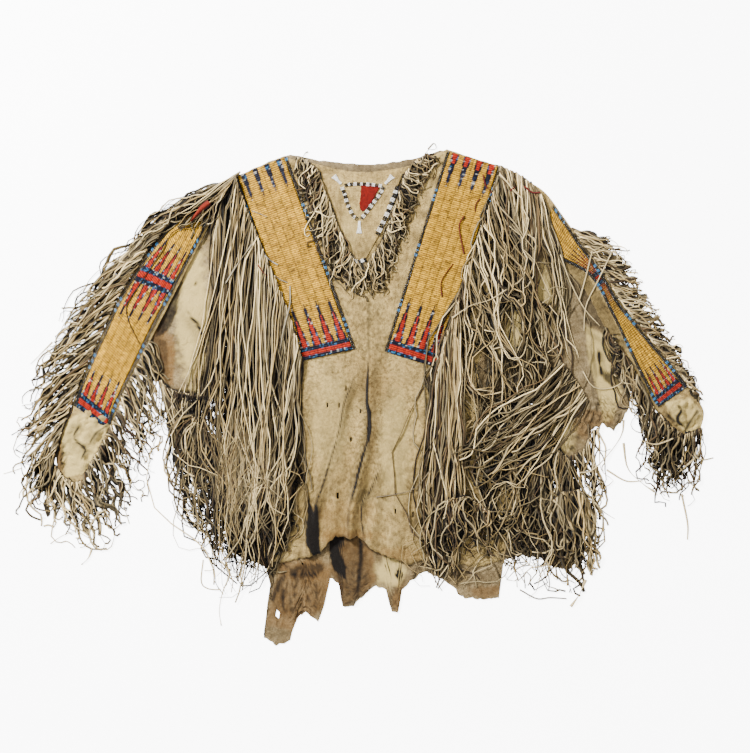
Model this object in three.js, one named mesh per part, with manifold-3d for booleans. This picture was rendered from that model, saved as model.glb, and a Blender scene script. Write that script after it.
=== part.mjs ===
// A buckskin war shirt laid flat and face up: two hides joined along the shoulders, two folded
// sleeves, underarm flaps, a neck bib, four quilled strips edged with bead lanes, and long fringe.
// Millimetres. +X is the wearer's left, +Y runs towards the neck, +Z is up from the table.

import * as THREE from 'three';
import { mergeVertices } from 'three/addons/utils/BufferGeometryUtils.js';
import Module from 'manifold-3d';

const wasm = await Module();
wasm.setup();

// ---------------------------------------------------------------- driving sizes

const HIDE = 1.6; // wall of the tanned hide
const SEAM = 0.3; // gap kept between pieces that meet
const FRONT_BASE = 2.0; // underside of the front, which lies on the back
const FOLD_RADIUS = 3.4; // outer radius of a sleeve's fold
const UNDER_LAYER = 0.8; // width of a sleeve's under layer, as a share of its upper layer

const QUILLWORK = 1.4; // thickness of a quilled strip
const BEADWORK = 2.2; // thickness of a bead lane
const LANE = 5.5; // width of a bead lane along a strip
const STRIP_WIDTH = 102.6; // shoulder strip with both its lanes
const BIB_LANE = 5.0; // width of a bead lane on the bib
const TRADE_CLOTH = 1.0; // thickness of the red inset

const WELT_WIDTH = 3.2; // strip that carries a row of fringe
const WELT_HEIGHT = 2.0;
const STRAND = 1.45; // centre to corner of a strand, at its root
const STRAND_TIP = 0.8; // the same at its free end
const STRAND_STEP = 2.8; // height between neighbouring strands, which lie in two courses
const FLOOR_GAP = 0.8; // least height of a strand over the table

const HOLE_CUTTER = { low: -20, depth: 60 }; // reaches through every hide and its folds
const FULL_RIDGE = 0.9; // share of a fold's length by which its ridge is full
const LEAST_RIDGE = 0.05; // lower ridges than this are left flat

const CENTRE = { x: 4, y: -3 }; // middle of the laid-out shirt in the tables' coordinates

// ---------------------------------------------------------------- outlines

// The back, seen past the front at the hem: a column for each change in its edge.
const BACK_COLUMNS = [
  { x: -246, top: 379, hem: -264 },
  { x: -228, top: 391, hem: -292 },
  { x: -202, top: 403, hem: -310 },
  { x: -181, top: 412, hem: -321 },
  { x: -177, top: 414, hem: -440 },
  { x: -156, top: 423, hem: -454 },
  { x: -130, top: 431, hem: -446 },
  { x: -122, top: 429, hem: -404 },
  { x: -104, top: 426, hem: -393 },
  { x: -80, top: 420, hem: -411 },
  { x: -71, top: 420, hem: -390 },
  { x: -58, top: 418, hem: -334 },
  { x: -44, top: 417, hem: -341 },
  { x: -35, top: 415, hem: -382 },
  { x: -19, top: 415, hem: -384 },
  { x: -1, top: 413, hem: -368 },
  { x: 21, top: 413, hem: -346 },
  { x: 42, top: 415, hem: -354 },
  { x: 53, top: 417, hem: -395 },
  { x: 64, top: 418, hem: -393 },
  { x: 71, top: 420, hem: -354 },
  { x: 86, top: 422, hem: -339 },
  { x: 112, top: 428, hem: -321 },
  { x: 140, top: 438, hem: -332 },
  { x: 168, top: 434, hem: -354 },
  { x: 177, top: 432, hem: -366 },
  { x: 212, top: 420, hem: -372 },
  { x: 246, top: 411, hem: -368 },
  { x: 255, top: 408, hem: -300 },
  { x: 289.6, top: 388, hem: -292 },
  { x: 292, top: -120, hem: -292 },
  { x: 320, top: -150, hem: -298 },
  { x: 342, top: -172, hem: -312 },
  { x: 370, top: -174, hem: -318 },
  { x: 397, top: -190, hem: -300 },
];

// The front, from one side seam to the other; its hem arches in the middle.
const FRONT_COLUMNS = [
  { x: -246, top: 377, hem: -264 },
  { x: -220, top: 394, hem: -292 },
  { x: -181, top: 410, hem: -303 },
  { x: -143, top: 426, hem: -305 },
  { x: -112, top: 418, hem: -296 },
  { x: -91, top: 415, hem: -292 },
  { x: -76, top: 411, hem: -287 },
  { x: -62, top: 408, hem: -269 },
  { x: -48, top: 404, hem: -258 },
  { x: -33, top: 402, hem: -258 },
  { x: -22, top: 400, hem: -262 },
  { x: -10, top: 399, hem: -256 },
  { x: 3, top: 399, hem: -266 },
  { x: 17, top: 399, hem: -280 },
  { x: 40, top: 402, hem: -292 },
  { x: 68, top: 406, hem: -302 },
  { x: 82, top: 410, hem: -310 },
  { x: 100, top: 415, hem: -303 },
  { x: 122, top: 426, hem: -296 },
  { x: 152, top: 440, hem: -300 },
  { x: 202, top: 423, hem: -314 },
  { x: 248, top: 408, hem: -300 },
  { x: 290, top: 388, hem: -262 },
];

// Ridges pressed into the lower front. Each grows from its start and is full at its end.
const FRONT_FOLDS = [
  { x0: -58, y0: 40, x1: -92, y1: -290, height: 6, width: 11 },
  { x0: -14, y0: 44, x1: -58, y1: -262, height: 9, width: 14 },
  { x0: 16, y0: 40, x1: -24, y1: -262, height: 14, width: 12 },
  { x0: 44, y0: -50, x1: 14, y1: -280, height: 12, width: 12 },
  { x0: 62, y0: 20, x1: 52, y1: -296, height: 7, width: 16 },
];

// Each sleeve: rungs from its folded edge to its open edge, shoulder first, cuff last.
const RIGHT_SLEEVE_RUNGS = [
  { foldX: -246.3, foldY: 381, openX: -246.3, openY: 323 },
  { foldX: -280, foldY: 363, openX: -271, openY: 309 },
  { foldX: -314, foldY: 336, openX: -291, openY: 273 },
  { foldX: -350, foldY: 302, openX: -314, openY: 228 },
  { foldX: -386, foldY: 258, openX: -336, openY: 184 },
  { foldX: -417, foldY: 212, openX: -357, openY: 143 },
  { foldX: -444, foldY: 165, openX: -379, openY: 100 },
  { foldX: -465, foldY: 118, openX: -400, openY: 55 },
  { foldX: -487, foldY: 71, openX: -422, openY: 10 },
  { foldX: -508, foldY: 21, openX: -442, openY: -35 },
  { foldX: -523, foldY: -19, openX: -453, openY: -69 },
  { foldX: -541, foldY: -66, openX: -467, openY: -105 },
  { foldX: -552, foldY: -112, openX: -490, openY: -145 },
  { foldX: -544, foldY: -156, openX: -508, openY: -163 },
];

const LEFT_SLEEVE_RUNGS = [
  { foldX: 290.3, foldY: 387, openX: 290.3, openY: 300 },
  { foldX: 328, foldY: 363, openX: 306, openY: 284 },
  { foldX: 361, foldY: 320, openX: 326, openY: 255 },
  { foldX: 392, foldY: 276, openX: 354, openY: 231 },
  { foldX: 420, foldY: 238, openX: 383, openY: 206 },
  { foldX: 444, foldY: 202, openX: 407, openY: 176 },
  { foldX: 465, foldY: 165, openX: 427, openY: 136 },
  { foldX: 494, foldY: 129, openX: 451, openY: 95 },
  { foldX: 525, foldY: 91, openX: 476, openY: 57 },
  { foldX: 555, foldY: 57, openX: 501, openY: 17 },
  { foldX: 577, foldY: 28, openX: 519, openY: -19 },
  { foldX: 597, foldY: -1, openX: 533, openY: -36 },
  { foldX: 615, foldY: -33, openX: 545, openY: -60 },
  { foldX: 608, foldY: -69, openX: 577, openY: -83 },
];

// The right underarm flap: rungs from the sleeve's under layer to the flap's free edge.
const RIGHT_FLAP_RUNGS = [
  { sleeveAt: 0.4, freeX: -246.3, freeY: 318 },
  { sleeveAt: 1.2, freeX: -246.3, freeY: 282 },
  { sleeveAt: 2.2, freeX: -246.3, freeY: 240 },
  { sleeveAt: 3.2, freeX: -246.3, freeY: 186 },
  { sleeveAt: 4.2, freeX: -248, freeY: 118 },
  { sleeveAt: 5.0, freeX: -254, freeY: 58 },
  { sleeveAt: 5.6, freeX: -263, freeY: 4 },
  { sleeveAt: 6.0, freeX: -284, freeY: -8 },
  { sleeveAt: 6.3, freeX: -303, freeY: -2 },
  { sleeveAt: 6.6, freeX: -322, freeY: -9 },
  { sleeveAt: 6.9, freeX: -343, freeY: 0 },
  { sleeveAt: 7.3, freeX: -366, freeY: 24 },
];

const RIGHT_FLAP_FRINGE = { from: 6, to: 11 }; // stretch of its free edge that carries fringe

// The left underarm flap, torn at its hem; it laps over the front and runs in under the sleeve.
const LEFT_FLAP_COLUMNS = [
  { x: 208, top: 51, hem: -22 },
  { x: 224, top: 96, hem: -19 },
  { x: 238, top: 132, hem: -30 },
  { x: 256, top: 168, hem: 4 },
  { x: 284, top: 204, hem: 10 },
  { x: 291, top: 214, hem: 1 },
  { x: 293, top: 292, hem: -3 },
  { x: 306, top: 278, hem: -22 },
  { x: 320, top: 259, hem: -48 },
  { x: 338, top: 250, hem: -84 },
  { x: 364, top: 234, hem: -118 },
  { x: 384, top: 216, hem: -122 },
  { x: 399, top: 199, hem: -105 },
  { x: 413, top: 180, hem: -66 },
  { x: 435, top: 138, hem: -57 },
  { x: 453, top: 101, hem: -66 },
  { x: 471, top: 72, hem: -44 },
  { x: 482, top: 54, hem: -21 },
];

// The bib: rows from the neck edge to its rounded end.
const BIB_ROWS = [
  { y: 396, left: -78, right: 73 },
  { y: 376, left: -71, right: 65 },
  { y: 350, left: -61, right: 56 },
  { y: 320, left: -50, right: 44 },
  { y: 290, left: -38, right: 32 },
  { y: 262, left: -27, right: 17 },
  { y: 246, left: -20, right: 8 },
  { y: 238, left: -13, right: 0 },
];

// Corners of the bead triangle on the bib, and the keyhole tabs that run out from them.
const BIB_TRIANGLE = {
  right: { x: -37, y: 372 },
  left: { x: 39, y: 374 },
  bottom: { x: -6, y: 313 },
};
const BIB_TABS = [
  { name: 'bib_tab_right', x0: -42, y0: 378, x1: -53, y1: 389 },
  { name: 'bib_tab_left', x0: 44, y0: 380, x1: 54, y1: 389 },
  { name: 'bib_tab_bottom', x0: -6, y0: 306, x1: -6, y1: 288 },
];
const BIB_TAB_NARROW = 4;
const BIB_TAB_WIDE = 10;

// Shoulder strips: the corners of each, outer edge first.
const RIGHT_SHOULDER_STRIP = {
  outerTop: { x: -231, y: 389 },
  outerHem: { x: -112, y: 58 },
  innerTop: { x: -136, y: 428 },
  innerHem: { x: -13, y: 80 },
};
const LEFT_SHOULDER_STRIP = {
  outerTop: { x: 250, y: 407 },
  outerHem: { x: 137, y: 46 },
  innerTop: { x: 151, y: 437 },
  innerHem: { x: 39, y: 76 },
};

// Sleeve strips: where each starts and ends along its sleeve, in rungs, and its outer edge.
const RIGHT_SLEEVE_STRIP = { from: 1, to: 10, outer: 0.4, edgeMargin: 5, pinch: 0 };
const LEFT_SLEEVE_STRIP = { from: 1.5, to: 10.5, outer: 0.2, edgeMargin: 7, pinch: 15 };
const PINCH = { start: 0.1, full: 0.32, ease: 0.5, end: 0.85 }; // shares of a strip's length

// Holes worn or cut right through the hides.
const FRONT_HOLES = [
  { x: -28, y: 12, length: 6, width: 4.4 },
  { x: -64, y: -21, length: 7, width: 5 },
  { x: -42, y: -21, length: 5, width: 4.4 },
  { x: -21, y: -80, length: 7, width: 5 },
  { x: -4, y: -32, length: 5, width: 4.4 },
  { x: -44, y: -183, length: 18, width: 4.6 },
  { x: 60, y: -212, length: 6, width: 5 },
  { x: 88, y: -217, length: 8, width: 5 },
];
const BACK_HOLES = [
  { x: 66, y: -328, length: 16, width: 11 },
];

// Ties at the two ends of the neck opening: short thongs laid from the edge.
const NECK_TIES = [
  { name: 'neck_tie_right', route: [[-100, 412], [-108, 424], [-98, 436]] },
  { name: 'neck_tie_left', route: [[104, 410], [116, 436], [131, 441]] },
];
const TIE_WIDTH = 4;

// ---------------------------------------------------------------- fringe tables

// Tips of each row of strands, in the order of their roots. lift is the height over the cloth.
const FRINGES = {
  shoulderRight: {
    count: 28,
    lift: 5.8,
    bow: 6,
    tips: [
      { x: -232, y: -310 },
      { x: -202, y: -339 },
      { x: -172, y: -318 },
      { x: -140, y: -303 },
      { x: -110, y: -264 },
    ],
  },
  shoulderLeft: {
    count: 28,
    lift: 5.8,
    bow: -14,
    tips: [
      { x: 328, y: -138 },
      { x: 284, y: -228 },
      { x: 233, y: -300 },
      { x: 190, y: -336 },
      { x: 154, y: -332 },
      { x: 122, y: -300 },
    ],
  },
  armRight: {
    count: 12,
    lift: 5.8,
    bow: 8,
    tips: [
      { x: -242, y: -350 },
      { x: -264, y: -325 },
      { x: -287, y: -339 },
      { x: -310, y: -292 },
    ],
  },
  armLeft: {
    count: 12,
    lift: 5.8,
    bow: -10,
    tips: [
      { x: 352, y: -110 },
      { x: 378, y: -70 },
      { x: 404, y: -20 },
    ],
  },
  outerRight: {
    count: 30,
    lift: 0.8,
    bow: 14,
    tips: [
      { x: -404, y: 304 },
      { x: -487, y: 195 },
      { x: -534, y: 123 },
      { x: -566, y: 39 },
      { x: -591, y: -48 },
      { x: -613, y: -123 },
      { x: -619, y: -172 },
    ],
  },
  outerLeft: {
    count: 28,
    lift: 0.8,
    bow: -10,
    tips: [
      { x: 446, y: 290 },
      { x: 478, y: 232 },
      { x: 520, y: 150 },
      { x: 552, y: 88 },
      { x: 588, y: 39 },
      { x: 625, y: -58 },
    ],
  },
  innerRight: {
    count: 12,
    lift: 5.8,
    bow: 6,
    tips: [
      { x: -336, y: -66 },
      { x: -343, y: -116 },
      { x: -372, y: -192 },
      { x: -418, y: -262 },
    ],
  },
  innerLeft: {
    count: 10,
    lift: 5.8,
    bow: -6,
    tips: [
      { x: 485, y: -66 },
      { x: 500, y: -138 },
      { x: 514, y: -184 },
      { x: 534, y: -196 },
    ],
  },
  cuffRight: {
    count: 7,
    lift: 0.8,
    bow: 0,
    tips: [
      { x: -590, y: -232 },
      { x: -566, y: -270 },
      { x: -512, y: -306 },
      { x: -470, y: -290 },
    ],
  },
  cuffLeft: {
    count: 7,
    lift: 0.8,
    bow: 0,
    tips: [
      { x: 633, y: -118 },
      { x: 600, y: -262 },
      { x: 566, y: -228 },
    ],
  },
  sideRight: {
    count: 14,
    lift: 0.4,
    bow: 4,
    tips: [
      { x: -254, y: -345 },
      { x: -284, y: -372 },
      { x: -310, y: -325 },
      { x: -324, y: -228 },
    ],
  },
  sideLeft: {
    count: 12,
    lift: 0.4,
    bow: -4,
    tips: [
      { x: 262, y: -350 },
      { x: 320, y: -378 },
      { x: 377, y: -372 },
      { x: 428, y: -300 },
      { x: 444, y: -170 },
    ],
  },
  bib: {
    count: 22,
    lift: 2.8,
    bow: 0,
    tips: [
      { x: -104, y: 345 },
      { x: -91, y: 276 },
      { x: -66, y: 226 },
      { x: -35, y: 179 },
      { x: -3, y: 165 },
      { x: 30, y: 178 },
      { x: 62, y: 210 },
      { x: 95, y: 262 },
      { x: 113, y: 309 },
      { x: 129, y: 362 },
    ],
  },
};

// ---------------------------------------------------------------- small helpers

const { clamp, lerp, smoothstep } = THREE.MathUtils;

/** A repeatable number from 0 to 1 for each index and salt. */
function scatter(index, salt) {
  const wave = Math.sin(index * 12.9898 + salt * 78.233) * 43758.5453;
  return wave - Math.floor(wave);
}

/** Points from and to, joined by count even steps. */
function steps(from, to, count) {
  return Array.from({ length: count + 1 }, (_, k) => lerp(from, to, k / count));
}

/** Places along a sleeve, two to a rung, so that the pieces sewn to it share its facets. */
const rungsBetween = (from, to) => steps(from, to, Math.round((to - from) * 2));

/** A smooth curve through flat points. */
function flatCurve(points) {
  const through = points.map((p) => new THREE.Vector3(p.x, p.y, 0));
  return new THREE.CatmullRomCurve3(through, false, 'catmullrom', 0.5);
}

/** Turns a closed geometry's faces outwards, where its signed volume is negative. */
function facingOut(geometry) {
  const at = geometry.getAttribute('position');
  const index = geometry.getIndex().array;
  const [a, b, c] = [new THREE.Vector3(), new THREE.Vector3(), new THREE.Vector3()];
  let volume = 0;
  for (let k = 0; k < index.length; k += 3) {
    a.fromBufferAttribute(at, index[k]);
    b.fromBufferAttribute(at, index[k + 1]);
    c.fromBufferAttribute(at, index[k + 2]);
    volume += a.dot(b.cross(c));
  }
  if (volume < 0) {
    for (let k = 0; k < index.length; k += 3) {
      [index[k + 1], index[k + 2]] = [index[k + 2], index[k + 1]];
    }
  }
  return geometry;
}

/** One closed solid between two grids of points that match, face[i][j] over back[i][j]. */
function closeSheet(face, back) {
  const rows = face.length;
  const columns = face[0].length;
  const positions = [...face.flat(), ...back.flat()].flatMap((p) => [p.x, p.y, p.z]);
  const index = [];
  const on = (i, j) => i * columns + j;
  const under = (i, j) => rows * columns + on(i, j);
  const quad = (a, b, c, d) => index.push(a, b, c, a, c, d);
  for (let i = 0; i + 1 < rows; i += 1) {
    for (let j = 0; j + 1 < columns; j += 1) {
      quad(on(i, j), on(i, j + 1), on(i + 1, j + 1), on(i + 1, j));
      quad(under(i, j), under(i + 1, j), under(i + 1, j + 1), under(i, j + 1));
    }
    quad(on(i, 0), on(i + 1, 0), under(i + 1, 0), under(i, 0));
    const last = columns - 1;
    quad(on(i, last), under(i, last), under(i + 1, last), on(i + 1, last));
  }
  for (let j = 0; j + 1 < columns; j += 1) {
    quad(on(0, j), under(0, j), under(0, j + 1), on(0, j + 1));
    const last = rows - 1;
    quad(on(last, j), on(last, j + 1), under(last, j + 1), under(last, j));
  }
  const geometry = new THREE.BufferGeometry();
  geometry.setAttribute('position', new THREE.Float32BufferAttribute(positions, 3));
  geometry.setIndex(index);
  return facingOut(geometry);
}

/** A wall on a surface (s, d, h): from lift up to lift + thickness over an s, d grid. */
function patch(surface, along, across, lift, thickness) {
  const layer = (h) => along.map((s) => across(s).map((d) => surface(s, d, h)));
  return closeSheet(layer(lift + thickness), layer(lift));
}

/** A closed mesh as a manifold solid. */
function toManifold(geometry) {
  const merged = mergeVertices(geometry, 1e-4);
  return new wasm.Manifold(new wasm.Mesh({
    numProp: 3,
    vertProperties: new Float32Array(merged.getAttribute('position').array),
    triVerts: new Uint32Array(merged.getIndex().array),
  }));
}

/** A manifold solid as a geometry. */
function fromManifold(solid) {
  const mesh = solid.getMesh();
  const geometry = new THREE.BufferGeometry();
  geometry.setAttribute('position', new THREE.BufferAttribute(mesh.vertProperties, 3));
  geometry.setIndex(Array.from(mesh.triVerts));
  return geometry;
}

/** A geometry with a slim oval hole cut straight through it for each row of a table. */
function withHoles(geometry, holes) {
  let solid = toManifold(geometry);
  for (const hole of holes) {
    const oval = new THREE.Shape();
    oval.absellipse(0, 0, hole.width / 2, hole.length / 2, 0, Math.PI * 2);
    const straight = { depth: HOLE_CUTTER.depth, bevelEnabled: false, curveSegments: 4 };
    const cutter = new THREE.ExtrudeGeometry(oval, straight);
    cutter.deleteAttribute('normal');
    cutter.deleteAttribute('uv');
    cutter.translate(hole.x, hole.y, HOLE_CUTTER.low);
    solid = solid.subtract(toManifold(cutter));
  }
  return fromManifold(solid);
}

// ---------------------------------------------------------------- surfaces

/** Height of the front's folds: each row is a ridge, rounded across and rising along its length. */
function foldHeight(x, y) {
  let height = 0;
  for (const fold of FRONT_FOLDS) {
    const run = new THREE.Vector2(fold.x1 - fold.x0, fold.y1 - fold.y0);
    const length = run.length();
    run.divideScalar(length);
    const along = ((x - fold.x0) * run.x + (y - fold.y0) * run.y) / length;
    const aside = (x - fold.x0) * run.y - (y - fold.y0) * run.x;
    const ridge = Math.exp(-((aside / fold.width) ** 2));
    height += fold.height * ridge * smoothstep(along, 0, FULL_RIDGE);
  }
  return height > LEAST_RIDGE ? height : 0;
}

/** Under and upper faces of the front. */
const frontUnder = (x, y) => FRONT_BASE + foldHeight(x, y);
const frontTop = (x, y) => frontUnder(x, y) + HIDE;

/** Widest column of the front at a place: fine where its folds are, wide elsewhere. */
const frontStep = (x) => (x > -113 && x < 90 ? 11 : 40);

/** A quilled strip's place on the front: s runs from shoulder to hem, d across from outside. */
function shoulderSurface(strip) {
  const corner = (p) => new THREE.Vector3(p.x, p.y, 0);
  return (s, d, h) => {
    const outer = corner(strip.outerTop).lerp(corner(strip.outerHem), s);
    const inner = corner(strip.innerTop).lerp(corner(strip.innerHem), s);
    const point = outer.clone().addScaledVector(inner.sub(outer).normalize(), d);
    return point.setZ(frontTop(point.x, point.y) + h);
  };
}

/** Section of a folded sleeve: d runs over the upper layer, and below zero round the fold. */
function foldSection(d, h) {
  const turn = clamp(-d / FOLD_RADIUS, 0, Math.PI);
  const flat = Math.max(d, 0) + Math.max(-d - Math.PI * FOLD_RADIUS, 0);
  const reach = FOLD_RADIUS + h;
  return { inward: FOLD_RADIUS - reach * Math.sin(turn) + flat, z: FOLD_RADIUS + reach * Math.cos(turn) };
}

/** A sleeve over its rungs: s counts rungs from the shoulder, d and h are those of its section. */
function sleeveForm(rungs) {
  const fold = flatCurve(rungs.map((r) => ({ x: r.foldX, y: r.foldY })));
  const open = flatCurve(rungs.map((r) => ({ x: r.openX, y: r.openY })));
  const last = rungs.length - 1;
  const at = (curve, s) => curve.getPoint(clamp(s / last, 0, 1));
  const width = (s) => at(open, s).distanceTo(at(fold, s));
  const surface = (s, d, h) => {
    const point = at(fold, s);
    const across = at(open, s).sub(point).normalize();
    const section = foldSection(d, h);
    return point.addScaledVector(across, section.inward).setZ(section.z);
  };
  return { surface, width, last };
}

/** A flat thong or lane along a route, its width going from one value to another. */
function ribbon(route, widthFrom, widthTo, base, thickness) {
  const layer = (h) => route.map((point, k) => {
    const before = route[Math.max(k - 1, 0)];
    const after = route[Math.min(k + 1, route.length - 1)];
    const along = new THREE.Vector2(after.x - before.x, after.y - before.y).normalize();
    const half = lerp(widthFrom, widthTo, k / (route.length - 1)) / 2;
    return [-half, half].map((side) => {
      const x = point.x - along.y * side;
      const y = point.y + along.x * side;
      return new THREE.Vector3(x, y, base(x, y) + h);
    });
  });
  return closeSheet(layer(thickness), layer(0));
}

/** A route moved sideways, to its left where distance is positive. */
function beside(route, distance) {
  return route.map((point, k) => {
    const before = route[Math.max(k - 1, 0)];
    const after = route[Math.min(k + 1, route.length - 1)];
    const along = new THREE.Vector2(after.x - before.x, after.y - before.y).normalize();
    return { x: point.x - along.y * distance, y: point.y + along.x * distance };
  });
}

// ---------------------------------------------------------------- pieces

/** A hide panel from its columns; base gives the height of its under face. */
function panel(columns, rows, base, finest = () => Infinity) {
  const grid = [];
  columns.forEach((column, k) => {
    const next = columns[k + 1] ?? column;
    const parts = Math.max(Math.ceil((next.x - column.x) / finest(column.x)), 1);
    for (let part = 0; part < parts; part += 1) {
      const mix = part / parts;
      grid.push({
        x: lerp(column.x, next.x, mix),
        top: lerp(column.top, next.top, mix),
        hem: lerp(column.hem, next.hem, mix),
      });
    }
  });
  const layer = (h) => grid.map((column) => steps(column.top, column.hem, rows).map(
    (y) => new THREE.Vector3(column.x, y, base(column.x, y) + h),
  ));
  return closeSheet(layer(HIDE), layer(0));
}

/** A sleeve: upper layer, rounded fold and narrower under layer in one wall. */
function sleeve(form) {
  const across = (s) => [
    ...steps(form.width(s) - FOLD_RADIUS, 0, 2),
    ...steps(0, -Math.PI * FOLD_RADIUS, 4).slice(1),
    -Math.PI * FOLD_RADIUS - underReach(form, s),
  ];
  return patch(form.surface, rungsBetween(0, form.last), across, -HIDE, HIDE);
}

/** Length of a sleeve's flat under layer at a rung. */
const underReach = (form, s) => UNDER_LAYER * form.width(s) - FOLD_RADIUS;

/** The right flap's free edge at a place along its rungs. */
function rightFlapEdge(k) {
  const free = flatCurve(RIGHT_FLAP_RUNGS.map((r) => ({ x: r.freeX, y: r.freeY })));
  const point = free.getPoint(k / (RIGHT_FLAP_RUNGS.length - 1));
  return point.setX(Math.min(point.x, RIGHT_FLAP_RUNGS[0].freeX));
}

/** The right flap, butted to the sleeve's under layer and lying on the table. */
function rightFlap(form) {
  const last = RIGHT_FLAP_RUNGS.length - 1;
  const layer = (h) => steps(0, last, last * 2).map((k) => {
    const low = RIGHT_FLAP_RUNGS[Math.floor(k)];
    const high = RIGHT_FLAP_RUNGS[Math.ceil(k)];
    const s = lerp(low.sleeveAt, high.sleeveAt, k % 1);
    const seam = form.surface(s, -Math.PI * FOLD_RADIUS - underReach(form, s) - 3 * SEAM, 0);
    return steps(0, 1, 3).map((mix) => seam.clone().lerp(rightFlapEdge(k), mix).setZ(h));
  });
  return closeSheet(layer(HIDE), layer(0));
}

/** Under face of the left flap: over the front, down to the table, and up onto the sleeve. */
function leftFlapBase(x, y) {
  const overFront = (FRONT_BASE + HIDE + SEAM) * smoothstep(-x, -330, -296);
  const row = LEFT_FLAP_COLUMNS.findIndex((column) => column.x >= x - 1e-6);
  const high = LEFT_FLAP_COLUMNS[Math.max(row, 1)];
  const low = LEFT_FLAP_COLUMNS[Math.max(row, 1) - 1];
  const top = lerp(low.top, high.top, (x - low.x) / (high.x - low.x));
  const overSleeve = (HIDE + SEAM) * smoothstep(y - top, -70, -30);
  return Math.max(overFront, overSleeve);
}

/** The bib, over the front. */
function bib() {
  const layer = (h) => BIB_ROWS.map((row) => steps(row.left, row.right, 4).map(
    (x) => new THREE.Vector3(x, row.y, frontTop(x, row.y) + SEAM + h),
  ));
  return closeSheet(layer(HIDE), layer(0));
}

/** Upper face of the bib, where its own pieces lie. */
const bibTop = (x, y) => frontTop(x, y) + SEAM + HIDE;

/** A point between the corners of the bib's triangle, by the share of each. */
function inTriangle(right, left, bottom) {
  const corners = [[BIB_TRIANGLE.right, right], [BIB_TRIANGLE.left, left], [BIB_TRIANGLE.bottom, bottom]];
  return {
    x: corners.reduce((sum, [corner, share]) => sum + corner.x * share, 0),
    y: corners.reduce((sum, [corner, share]) => sum + corner.y * share, 0),
  };
}

/** The red inset: the left half of the triangle. */
function bibInset() {
  const edges = [
    [inTriangle(0.45, 0.45, 0.1), inTriangle(0.1, 0.8, 0.1)],
    [inTriangle(0.32, 0.32, 0.36), inTriangle(0.1, 0.54, 0.36)],
    [inTriangle(0.18, 0.18, 0.64), inTriangle(0.1, 0.26, 0.64)],
  ];
  const layer = (h) => edges.map((ends) => ends.map(
    (p) => new THREE.Vector3(p.x, p.y, bibTop(p.x, p.y) + SEAM + h),
  ));
  return closeSheet(layer(TRADE_CLOTH), layer(0));
}

/** A bead lane on the bib between two corners, held back from both ends. */
function bibLane(from, to, holdBack) {
  const run = new THREE.Vector2(to.x - from.x, to.y - from.y);
  const share = holdBack / run.length();
  const route = steps(share, 1 - share, 3).map((mix) => ({
    x: lerp(from.x, to.x, mix),
    y: lerp(from.y, to.y, mix),
  }));
  return ribbon(route, BIB_LANE, BIB_LANE, (x, y) => bibTop(x, y) + SEAM, BEADWORK);
}

// ---------------------------------------------------------------- fringe

/** A three-sided strand along its rings: flat below, its ridge up, closed at both ends. */
function strand(route) {
  const corners = [Math.PI / 2, Math.PI * (7 / 6), Math.PI * (11 / 6)];
  const up = new THREE.Vector3(0, 0, 1);
  const positions = [];
  route.forEach((point, k) => {
    const before = route[Math.max(k - 1, 0)];
    const after = route[Math.min(k + 1, route.length - 1)];
    const along = after.clone().sub(before).setZ(0).normalize();
    const side = along.clone().cross(up);
    const size = lerp(STRAND, STRAND_TIP, k / (route.length - 1));
    for (const corner of corners) {
      const ring = point.clone()
        .addScaledVector(side, size * Math.cos(corner))
        .addScaledVector(up, size * Math.sin(corner));
      positions.push(ring.x, ring.y, ring.z);
    }
  });
  const index = [0, 1, 2];
  for (let k = 0; k + 1 < route.length; k += 1) {
    for (let side = 0; side < 3; side += 1) {
      const a = k * 3 + side;
      const b = k * 3 + ((side + 1) % 3);
      index.push(a, a + 3, b, b, a + 3, b + 3);
    }
  }
  const end = (route.length - 1) * 3;
  index.push(end, end + 2, end + 1);
  const geometry = new THREE.BufferGeometry();
  geometry.setAttribute('position', new THREE.Float32BufferAttribute(positions, 3));
  geometry.setIndex(index);
  return facingOut(geometry);
}

/** Height of the cloth at a place, read from the panels that are already built. */
function clothHeight(panels) {
  const ray = new THREE.Raycaster();
  const down = new THREE.Vector3(0, 0, -1);
  return (x, y) => {
    ray.set(new THREE.Vector3(x, y, 100), down);
    const hits = ray.intersectObjects(panels, false);
    return hits.length ? hits[0].point.z : 0;
  };
}

/** Route of one strand: from its root to its tip, bowed, waved and laid over the cloth. */
function strandRoute(root, tip, fringe, number, ground) {
  const run = tip.clone().sub(root).setZ(0);
  const length = run.length();
  const aside = new THREE.Vector3(-run.y, run.x, 0).divideScalar(length);
  const rings = clamp(Math.round(length / 120) + 1, 3, 4);
  const reach = 1 - 0.1 * scatter(number, 1);
  const share = number / fringe.count;
  const place = (t) => {
    const wave = 0.012 * length * Math.sin(Math.PI * (2.2 * t + 3 * share));
    const bow = -fringe.bow * Math.sin(Math.PI * t);
    return root.clone().addScaledVector(run, t * reach).addScaledVector(aside, (wave + bow) * t);
  };
  const course = fringe.lift + (number % 2) * STRAND_STEP + STRAND / 2;
  const probes = steps(0, rings, rings * 8).map((k) => place(k / rings));
  const heights = probes.map((p) => ground(p.x, p.y));
  return steps(0, 1, rings).map((t, ring) => {
    const near = heights.slice(Math.max(ring * 8 - 7, 0), ring * 8 + 8);
    const rest = Math.max(Math.max(...near) + course, FLOOR_GAP + STRAND);
    return ring === 0 ? place(0).setZ(root.z) : place(t).setZ(rest);
  });
}

/** A row of strands with their roots fused into one welt. rootAt gives the welt's middle. */
function fringeRow(fringe, welt, rootAt, ground) {
  const tips = flatCurve(fringe.tips);
  let solid = toManifold(welt);
  for (let number = 0; number < fringe.count; number += 1) {
    const share = (number + 0.5) / fringe.count;
    const tip = tips.getPoint(number / (fringe.count - 1));
    const route = strandRoute(rootAt(share), tip, fringe, number, ground);
    solid = solid.add(toManifold(strand(route)));
  }
  return fromManifold(solid);
}

// ---------------------------------------------------------------- assembly

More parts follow.
